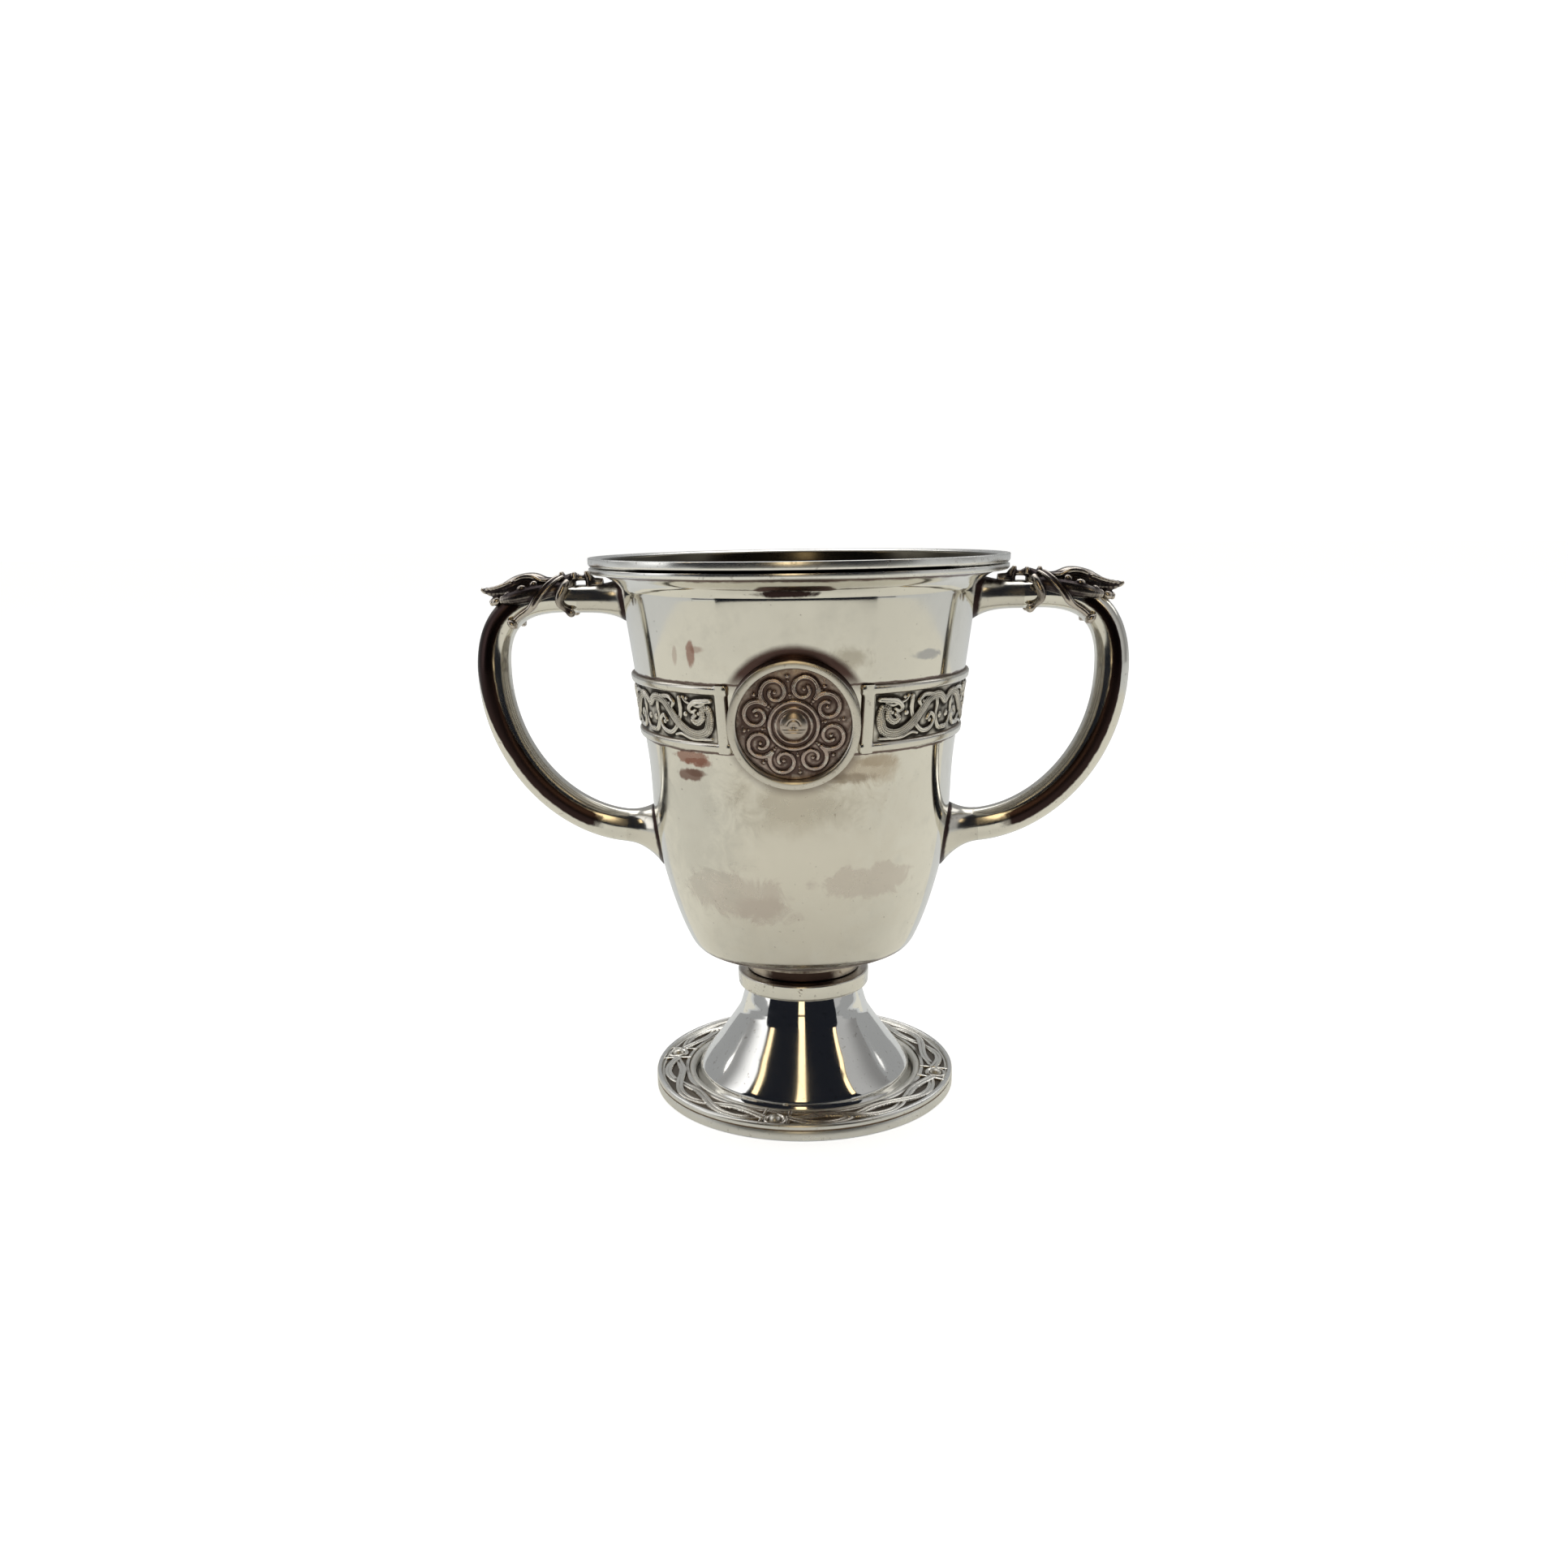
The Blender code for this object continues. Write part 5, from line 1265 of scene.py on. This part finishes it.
def make_sockets():
    """Flared sockets that end on the bowl's wall, darker there and along the tops of the upper ones."""
    upper, lower = bar_knots()
    ends = (
        ("upper", upper[0], 0.0, HANDLE_TOP_RADIUS, UPPER_SOCKET, 1.0),
        ("lower", lower[3], HANDLE_FOOT_SLOPE, HANDLE_RADIUS, LOWER_SOCKET, 0.0),
    )
    shares = np.arange(SOCKET_SPANS + 1) / SOCKET_SPANS
    for word, joint, slope, radius, (length, flare, curve), top_darkening in ends:
        inwards = np.array([-math.cos(slope), 0.0, -math.sin(slope)])
        up = np.array([-math.sin(slope), 0.0, math.cos(slope)])
        origin = np.array([joint[0], 0.0, joint[1]])

        def place(share, turn):
            wide = radius + SOCKET_SKIN + (flare - radius) * share**curve
            across = np.array([0.0, 1.0, 0.0]) * math.sin(turn) * wide
            rise = up * math.cos(turn) * wide
            return origin + inwards * length * share + across + rise

        def outside(share, turn):
            spot = place(share, turn)
            return math.hypot(spot[0], spot[1]) > wall_radius(spot[2]) - 0.0001

        points = []
        grime_and_shade = []
        for turn in [math.tau * k / SMALL_TURN_STEPS for k in range(SMALL_TURN_STEPS)]:
            last = SOCKET_FIRST_SHARE
            while outside(last, turn) and last < SOCKET_LAST_SHARE:
                last += 0.01
            points += [place(last * i / SOCKET_SPANS, turn) for i in range(SOCKET_SPANS + 1)]
            spot = points[-1]
            spot[0] = math.sqrt((wall_radius(spot[2]) - SOCKET_SINK) ** 2 - spot[1] ** 2)
            top = max(math.cos(turn), 0.0) * top_darkening
            along_top = top * np.minimum(fade(shares - 0.30, 0.3), 0.8)
            grime_and_shade += list(np.maximum(fade(shares - 0.80, 0.15), along_top))
        step = SOCKET_SPANS + 1
        starts = [k * step for k in range(SMALL_TURN_STEPS)]
        faces = grid_faces(SMALL_TURN_STEPS, step, step, True)
        faces += [starts[::-1], [start + SOCKET_SPANS for start in starts]]
        add_pair(f"{{}}_{word}_socket", points, faces, "socket", grime_and_shade)


# Beasts: lengths along the bar, lifts over its middle line, turns round it, all in mm and degrees


def along_bar(knots, steps=8):
    """A line of points and radii from knots of length, lift, turn and radius."""
    smooth = curve_through(knots, steps)
    points = [on_bar(run / 1000, lift / 1000, math.radians(turn)) for run, lift, turn, _ in smooth]
    return points, smooth[:, 3] / 1000


SPINE = (
    (-0.2, 4.7, 0, 0.75), (1.2, 4.5, 0, 1.15), (2.4, 3.4, 0, 2.1), (4.6, 2.6, 0, 2.1),
    (6.8, 2.6, 0, 2.25), (9.1, 3.4, 0, 2.75), (11.5, 3.9, 0, 2.6), (13.2, 4.2, 0, 2.2),
    (14.6, 4.9, 0, 1.6), (15.7, 6.2, 0, 1.05), (16.3, 7.4, 0, 0.62), (16.6, 8.3, 0, 0.34),
)
JAW = ((12.4, 3.0, 0, 1.7), (14.6, 3.6, 0, 1.35), (16.4, 4.3, 0, 0.95), (17.2, 4.8, 0, 0.6))
HAUNCH = ((-2.9, 3.3, 0, 1.2), (-4.2, 3.3, 0, 1.25), (-5.6, 3.4, 0, 1.0))
TAIL = (
    (-2.8, 1.6, 0, 1.25), (-2.8, 3.2, 0, 1.15), (-2.6, 4.3, 0, 1.0),
    (-2.0, 5.5, 0, 0.62), (-1.9, 6.0, 0, 0.45),
)
BRIDGE = ((-2.7, 4.6, 0, 0.75), (-1.2, 4.5, 0, 0.60), (0.6, 4.6, 0, 0.8))
# Limbs, cheeks, curls and a ball, which stand on both sides of the beast
SIDE_FORMS = (
    (
        (2.6, 3.7, 48, 1.3), (4.6, 3.6, 56, 1.4), (7.0, 3.6, 62, 1.65), (9.6, 3.7, 64, 1.75),
        (12.0, 3.8, 60, 1.6), (13.8, 3.9, 50, 1.25), (15.0, 4.1, 38, 0.9),
    ),
    ((10.1, 4.7, 46, 0.6), (10.8, 4.9, 48, 0.85), (11.5, 4.7, 48, 0.6)),
    ((7.9, 4.6, 40, 0.5), (8.5, 4.8, 40, 0.72), (9.1, 4.6, 42, 0.5)),
    ((15.3, 3.9, 22, 0.6), (16.0, 4.2, 24, 0.95), (16.6, 4.3, 22, 0.6)),
    ((12.9, 3.9, 40, 0.7), (13.6, 4.2, 42, 1.0), (14.3, 4.0, 40, 0.7)),
    (
        (2.0, 4.6, 34, 0.7), (2.5, 4.5, 55, 0.95), (3.4, 4.2, 82, 0.95), (3.4, 4.0, 106, 0.75),
        (2.2, 3.9, 126, 0.55), (1.1, 4.0, 137, 1.0), (0.5, 3.8, 142, 0.6),
    ),
    ((3.4, 4.4, 8, 0.75), (3.6, 5.3, 8, 0.50), (3.6, 5.8, 8, 0.28)),
    ((0.9, 4.4, 8, 0.75), (1.0, 5.3, 8, 0.55), (1.0, 5.8, 8, 0.30)),
    ((4.4, 4.6, 28, 0.42), (6.0, 4.6, 30, 0.48), (7.6, 4.9, 30, 0.42)),
    ((7.4, 4.9, 30, 0.45), (8.9, 5.8, 24, 0.62), (10.4, 6.1, 22, 0.60), (11.6, 6.0, 22, 0.5)),
    ((12.2, 5.8, 20, 0.40), (13.8, 6.0, 16, 0.45), (15.2, 6.6, 10, 0.38), (16.1, 7.5, 5, 0.26)),
    ((15.5, 4.4, 119, 0.90), (16.4, 4.5, 120, 1.50), (17.3, 4.4, 120, 0.90)),
)
# A strap that winds round the bar, twice on each side
STRAP = (
    (3.6, 4.9, 16, 0.45), (5.6, 4.9, 52, 0.50), (7.9, 4.7, 80, 0.52), (10.2, 4.3, 108, 0.62),
    (13.4, 4.3, 117, 0.62),
)
STRAP_END = (15.6, 4.3, 120, 0.60)
STRAP_SHIFT = 0.5


def beast_forms():
    """All forms of the beast, as knots for along_bar."""
    forms = [SPINE, JAW, HAUNCH, TAIL, BRIDGE]
    for side in (-1, 1):
        one_side = list(SIDE_FORMS)
        for shift in (-STRAP_SHIFT, STRAP_SHIFT):
            start = [(knot[0] + shift, *knot[1:]) for knot in STRAP]
            one_side.append([*start, (STRAP_END[0] + shift * 0.6, *STRAP_END[1:])])
        for form in one_side:
            forms.append([(run, lift, turn * side, radius) for run, lift, turn, radius in form])
    return forms


def skinned(points, faces):
    """One skin round a heap of overlapping forms."""
    rough = linked("beast_rough", plain_mesh("beast_rough", points, faces))
    remesh = rough.modifiers.new("skin", "REMESH")
    remesh.mode = "VOXEL"
    remesh.voxel_size = BEAST_VOXEL
    soften = rough.modifiers.new("soften", "SMOOTH")
    soften.factor = 0.5
    soften.iterations = 3
    bpy.context.view_layer.update()
    skin = bpy.data.meshes.new_from_object(rough.evaluated_get(bpy.context.evaluated_depsgraph_get()))
    bpy.data.objects.remove(rough, do_unlink=True)
    return skin


def values_of(items, name, width, kind=float):
    """One value of every item of a mesh, as an array with a row for each item."""
    values = np.zeros(len(items) * width, kind)
    items.foreach_get(name, values)
    return values.reshape(-1, width)


def beast_relief(skin, spots):
    """Relief of the beast: bright on its high points and its limbs, dark in its recesses, and with a painted
    highlight on its back where it faces upwards.
    """
    normal = values_of(skin.vertices, "normal", 3)
    edges = values_of(skin.edges, "vertices", 2, int)
    smooth = spots.copy()
    count = np.bincount(edges.ravel(), minlength=len(spots))[:, None]
    for _ in range(BEAST_BLUR):
        total = np.zeros_like(smooth)
        np.add.at(total, edges[:, 0], smooth[edges[:, 1]])
        np.add.at(total, edges[:, 1], smooth[edges[:, 0]])
        smooth = total / count
    rise = ((spots - smooth) * normal).sum(1) * 1000
    nearest = np.argmin(((spots[:, None, ::2] - PATH[None]) ** 2).sum(2), axis=1)
    lift = ((spots[:, ::2] - PATH[nearest]) * outward_side(PATH)[nearest]).sum(1) * 1000
    run = PATH_RUN[nearest] * 1000
    limbs = 0.42 * fade(-0.6 - lift, 0.8) * fade(run - 6.0, 3.0)
    # painted highlight: the back is brighter where it faces upwards
    back = 0.30 * fade(lift - 4.6, 0.8) * fade(run - 4.0, 1.5)
    back *= fade(14.5 - run, 2.0) * np.clip(normal[:, 2] * 1.5, 0.0, 1.0)
    return np.clip(0.5 + rise / 0.30 + limbs + back, 0.0, 1.0)


def make_beasts():
    """Cast beasts along the tops of the handles: one swept body with limbs that wind round the bar."""
    points = []
    faces = []
    for knots in beast_forms():
        form_points, form_faces = tube(*along_bar(knots), 14)
        faces += [[corner + len(points) for corner in face] for face in form_faces]
        points += list(form_points)
    skin = skinned(points, faces)
    spots = values_of(skin.vertices, "co", 3)
    skin_faces = [tuple(polygon.vertices) for polygon in skin.polygons]
    add_pair("{}_beast", spots, skin_faces, "beast", beast_relief(skin, spots), 75)


# Stage, light and camera

FLOOR_REACH = 6.0
SCREEN_COLUMNS = 49
SCREEN_ROWS = 25
SCREEN_MIDDLE_Z = 0.06
DARK_RADIUS = 0.40
CARD_RADIUS = 0.392
CAMERA_LENS = 30.745
CAMERA_ANGLES = (-0.75, 11.35, -0.80, 2.00)
CAMERA_SPOT = (0.0, -0.2932, 0.1283)


def plain(name, colour, glow=0.0, rough=0.9):
    """A plain material of the stage, which may glow by itself."""
    material = bpy.data.materials.new(name)
    material.use_nodes = True
    shader = material.node_tree.nodes["Principled BSDF"]
    shader.inputs["Base Color"].default_value = (*colour, 1.0)
    shader.inputs["Roughness"].default_value = rough
    shader.inputs["Specular IOR Level"].default_value = 0.1
    if glow:
        shader.inputs["Emission Color"].default_value = (*colour, 1.0)
        shader.inputs["Emission Strength"].default_value = glow
    return material


def stage_mesh(name, points, faces, material, seen, mirrored, lights=False):
    """Part of the stage: seen by the camera, or only mirrored in the silver."""
    mesh = plain_mesh(name, points, faces)
    mesh.materials.append(material)
    mesh.shade_smooth()
    obj = linked(name, mesh)
    obj.visible_camera = seen
    obj.visible_glossy = mirrored
    obj.visible_diffuse = lights
    obj.visible_shadow = lights


def screen(name, material, radius, azimuths, elevations, bend=0.0, seen=False):
    """A screen on a ball round the cup, between two azimuths and two elevations; azimuth 0 is in front."""
    points = []
    for i in range(SCREEN_COLUMNS):
        across = i / (SCREEN_COLUMNS - 1)
        for j in range(SCREEN_ROWS):
            up = j / (SCREEN_ROWS - 1)
            rise = math.radians(elevations[0] + (elevations[1] - elevations[0]) * up)
            turn = math.radians(azimuths[0] + (azimuths[1] - azimuths[0]) * across + bend * up)
            flat = radius * math.cos(rise)
            height = max(SCREEN_MIDDLE_Z + radius * math.sin(rise), 0.002)
            points.append((flat * math.sin(turn), -flat * math.cos(turn), height))
    faces = grid_faces(SCREEN_COLUMNS, SCREEN_ROWS, SCREEN_ROWS, False)
    stage_mesh(name, points, faces, material, seen, not seen)


def make_stage():
    """White floor and backdrop for the camera; dark, warm and white cards that only the silver mirrors."""
    corners = [(x * FLOOR_REACH, y * FLOOR_REACH, 0) for x, y in ((-1, -1), (1, -1), (1, 1), (-1, 1))]
    white = plain("floor_white", (0.60, 0.595, 0.585), 1.30)
    stage_mesh("floor", corners, [(0, 1, 2, 3)], white, True, False, True)
    raised = [(x, y, 0.0002) for x, y, _ in corners]
    grey = plain("mirrored_grey", (0.50, 0.51, 0.51), 0.60)
    stage_mesh("mirrored_floor", raised, [(0, 1, 2, 3)], grey, False, True)
    sector(plain("mirrored_cream", (0.60, 0.585, 0.52), 0.55), 0.45, (-128, 128))
    screen("backdrop", plain("backdrop_white", (1.0, 1.0, 1.0), 1.05), 5.5, (-180, 180), (-2, 70), seen=True)
    world = bpy.data.worlds.new("studio")
    bpy.context.scene.world = world
    world.use_nodes = True
    back = world.node_tree.nodes["Background"]
    back.inputs["Color"].default_value = (0.98, 1.0, 1.01, 1.0)
    back.inputs["Strength"].default_value = 0.36
    dark = plain("dark_card", (0.0012, 0.0014, 0.0020), 7.0)
    screen("dark_screen", dark, DARK_RADIUS, (-50, 50), (-12, 78))
    screen("dark_screen_left", dark, DARK_RADIUS, (-66, -50), (-3.6, 78))
    screen("dark_screen_right", dark, DARK_RADIUS, (50, 62), (-3.6, 78))
    gold = plain("warm_strip", (1.0, 0.78, 0.45), 1.1)
    screen("warm_strip_left", gold, CARD_RADIUS, (-60, -53), (24, 40), -3.0)
    screen("warm_strip_middle", gold, CARD_RADIUS, (-7.2, 3.4), (2, 52))
    screen("warm_strip_right", gold, CARD_RADIUS, (56, 61), (24, 38))
    screen("white_card_left", fading_card("white_card", 1.35, 0.32), CARD_RADIUS, (-104, -66), (2, 60))
    screen("white_card_right", fading_card("pale_card", 0.45, 0.24), CARD_RADIUS, (62, 104), (2, 60))


def fading_card(name, near, far):
    """A white card that is bright in front of the cup and fades towards its side."""
    nodes = Nodes(name)
    glow = nodes.ramp(nodes.axes()["Y"], -0.11, 0.05, near, far)
    nodes.feed(nodes.shader.inputs["Emission Strength"], glow)
    nodes.feed(nodes.shader.inputs["Emission Color"], (1.0, 1.0, 1.0))
    return nodes.finish((0.01, 0.01, 0.01), 0.9, 0.0)


def sector(material, radius, azimuths):
    """A fan-shaped card on the floor in front of the cup, which only the silver mirrors."""
    points = [(0.0, 0.0, 0.0004)]
    for i in range(SCREEN_COLUMNS):
        turn = math.radians(azimuths[0] + (azimuths[1] - azimuths[0]) * i / (SCREEN_COLUMNS - 1))
        points.append((radius * math.sin(turn), -radius * math.cos(turn), 0.0004))
    faces = [(0, i, i + 1) for i in range(1, SCREEN_COLUMNS)]
    stage_mesh("cream_card", points, faces, material, False, True)


def area_light(name, azimuth, elevation, distance, size, energy, colour):
    """A soft lamp that faces the middle of the cup; azimuth 0 is in front."""
    turn, rise = math.radians(azimuth), math.radians(elevation)
    way = Vector((math.sin(turn) * math.cos(rise), -math.cos(turn) * math.cos(rise), math.sin(rise)))
    light = bpy.data.lights.new(name, "AREA")
    light.shape = "RECTANGLE"
    light.size, light.size_y = size
    light.energy = energy
    light.color = colour
    obj = linked(name, light)
    obj.location = Vector((0.0, 0.0, SCREEN_MIDDLE_Z)) + way * distance
    obj.rotation_euler = way.to_track_quat("Z", "Y").to_euler()
    obj.visible_camera = False


def make_lights():
    area_light("soft_top", 180, 72, 1.0, (0.9, 0.8), 4.2, (1.0, 0.99, 0.96))
    area_light("soft_left", -115, 35, 1.3, (0.5, 0.7), 1.6, (1.0, 0.98, 0.95))
    area_light("soft_right", 120, 35, 1.3, (0.4, 0.7), 1.0, (1.0, 0.99, 0.97))


def make_camera():
    """The photo's camera, as it was solved: pan, pitch, roll and a turn round the cup, in degrees."""
    camera = bpy.data.cameras.new("camera")
    camera.lens = CAMERA_LENS
    camera.sensor_width = 36.0
    camera.clip_start = 0.01
    camera.clip_end = 50.0
    obj = linked("camera", camera)
    pan, pitch, roll, orbit = (math.radians(angle) for angle in CAMERA_ANGLES)
    forward = Vector((math.sin(pan) * math.cos(pitch), math.cos(pan) * math.cos(pitch), -math.sin(pitch)))
    right = Vector((math.cos(pan), -math.sin(pan), 0.0))
    up = right.cross(forward)
    rolled_right = right * math.cos(roll) + up * math.sin(roll)
    rolled_up = up * math.cos(roll) - right * math.sin(roll)
    turn = Matrix((rolled_right, rolled_up, -forward)).transposed().to_4x4()
    obj.matrix_world = Matrix.Rotation(orbit, 4, "Z") @ Matrix.Translation(CAMERA_SPOT) @ turn
    bpy.context.scene.camera = obj


MATERIALS = {
    "bowl": bowl_outside(),
    "inside": bowl_inside(),
    "rim": polished("rim_silver", BRIGHT, 0.20, 0.30, (0.1, 0.0, 0.0), grime_and_shade=BLACK_GROOVE_SHADE),
    "cone": polished("cone_silver", BRIGHT, 0.05, 0.11, (0.0, 0.2, 0.0)),
    "knop": polished("knop_silver", CREAM, 0.20, 0.32, (0.0, 0.0, 0.3), 0.80),
    "collar": polished("collar_silver", (0.52, 0.46, 0.39), 0.24, 0.38, (0.4, 0.0, 0.0), 0.60, BROWN_GRIME_AND_SHADE),
    "handle": polished("handle_silver", CREAM, 0.10, 0.20, (0.0, 0.5, 0.1), grime_and_shade=TARNISH_AND_DARK_REFLECTION),
    "socket": polished("socket_silver", (0.70, 0.675, 0.615), 0.14, 0.24, (0.2, 0.5, 0.1), grime_and_shade=TARNISH_AND_DARK_REFLECTION),
    "wire": polished("wire_silver", CREAM, 0.34, 0.46, (0.6, 0.1, 0.1)),
    "edge": polished("edge_silver", BRIGHT, 0.24, 0.36, (0.6, 0.1, 0.3), grime_and_shade=BROWN),
    "bezel": polished("bezel_silver", (0.68, 0.65, 0.59), 0.24, 0.34, (0.2, 0.7, 0.1), grime_and_shade=UMBER),
    "frame": relief_metal("frame_silver", (0.71, 0.685, 0.625), BROWN, 0.20, 0.40, 0.35, 0.15),
    "panel": relief_metal(
        "panel_silver", (0.74, 0.71, 0.65), (0.040, 0.034, 0.028), 0.24, 0.55, worn=(0.36, 0.64)
    ),
    "border": relief_metal(
        "border_silver", (0.88, 0.86, 0.80), (0.130, 0.112, 0.092), 0.22, 0.44, blots=FOOT_STAINS
    ),
    "disc": relief_metal(
        "disc_silver", (0.45, 0.365, 0.33), (0.115, 0.078, 0.070), 0.24, 0.50, 0.9, 0.8, painted_glints=0.6
    ),
    "boss": polished("boss_silver", (0.50, 0.44, 0.39), 0.26, 0.34, (0.3, 0.3, 0.3), 0.90),
    "beast": relief_metal(
        "beast_silver", (0.56, 0.51, 0.46), (0.040, 0.031, 0.033), 0.24, 0.45, worn=(0.53, 0.92)
    ),
}

make_bowl()
make_rim()
make_foot()
make_studs()
make_stem()
make_band_frames()
make_band_panels()
make_medallions()
make_handles()
make_sockets()
make_beasts()
make_stage()
make_lights()
make_camera()
bpy.context.scene.view_settings.view_transform = "Standard"
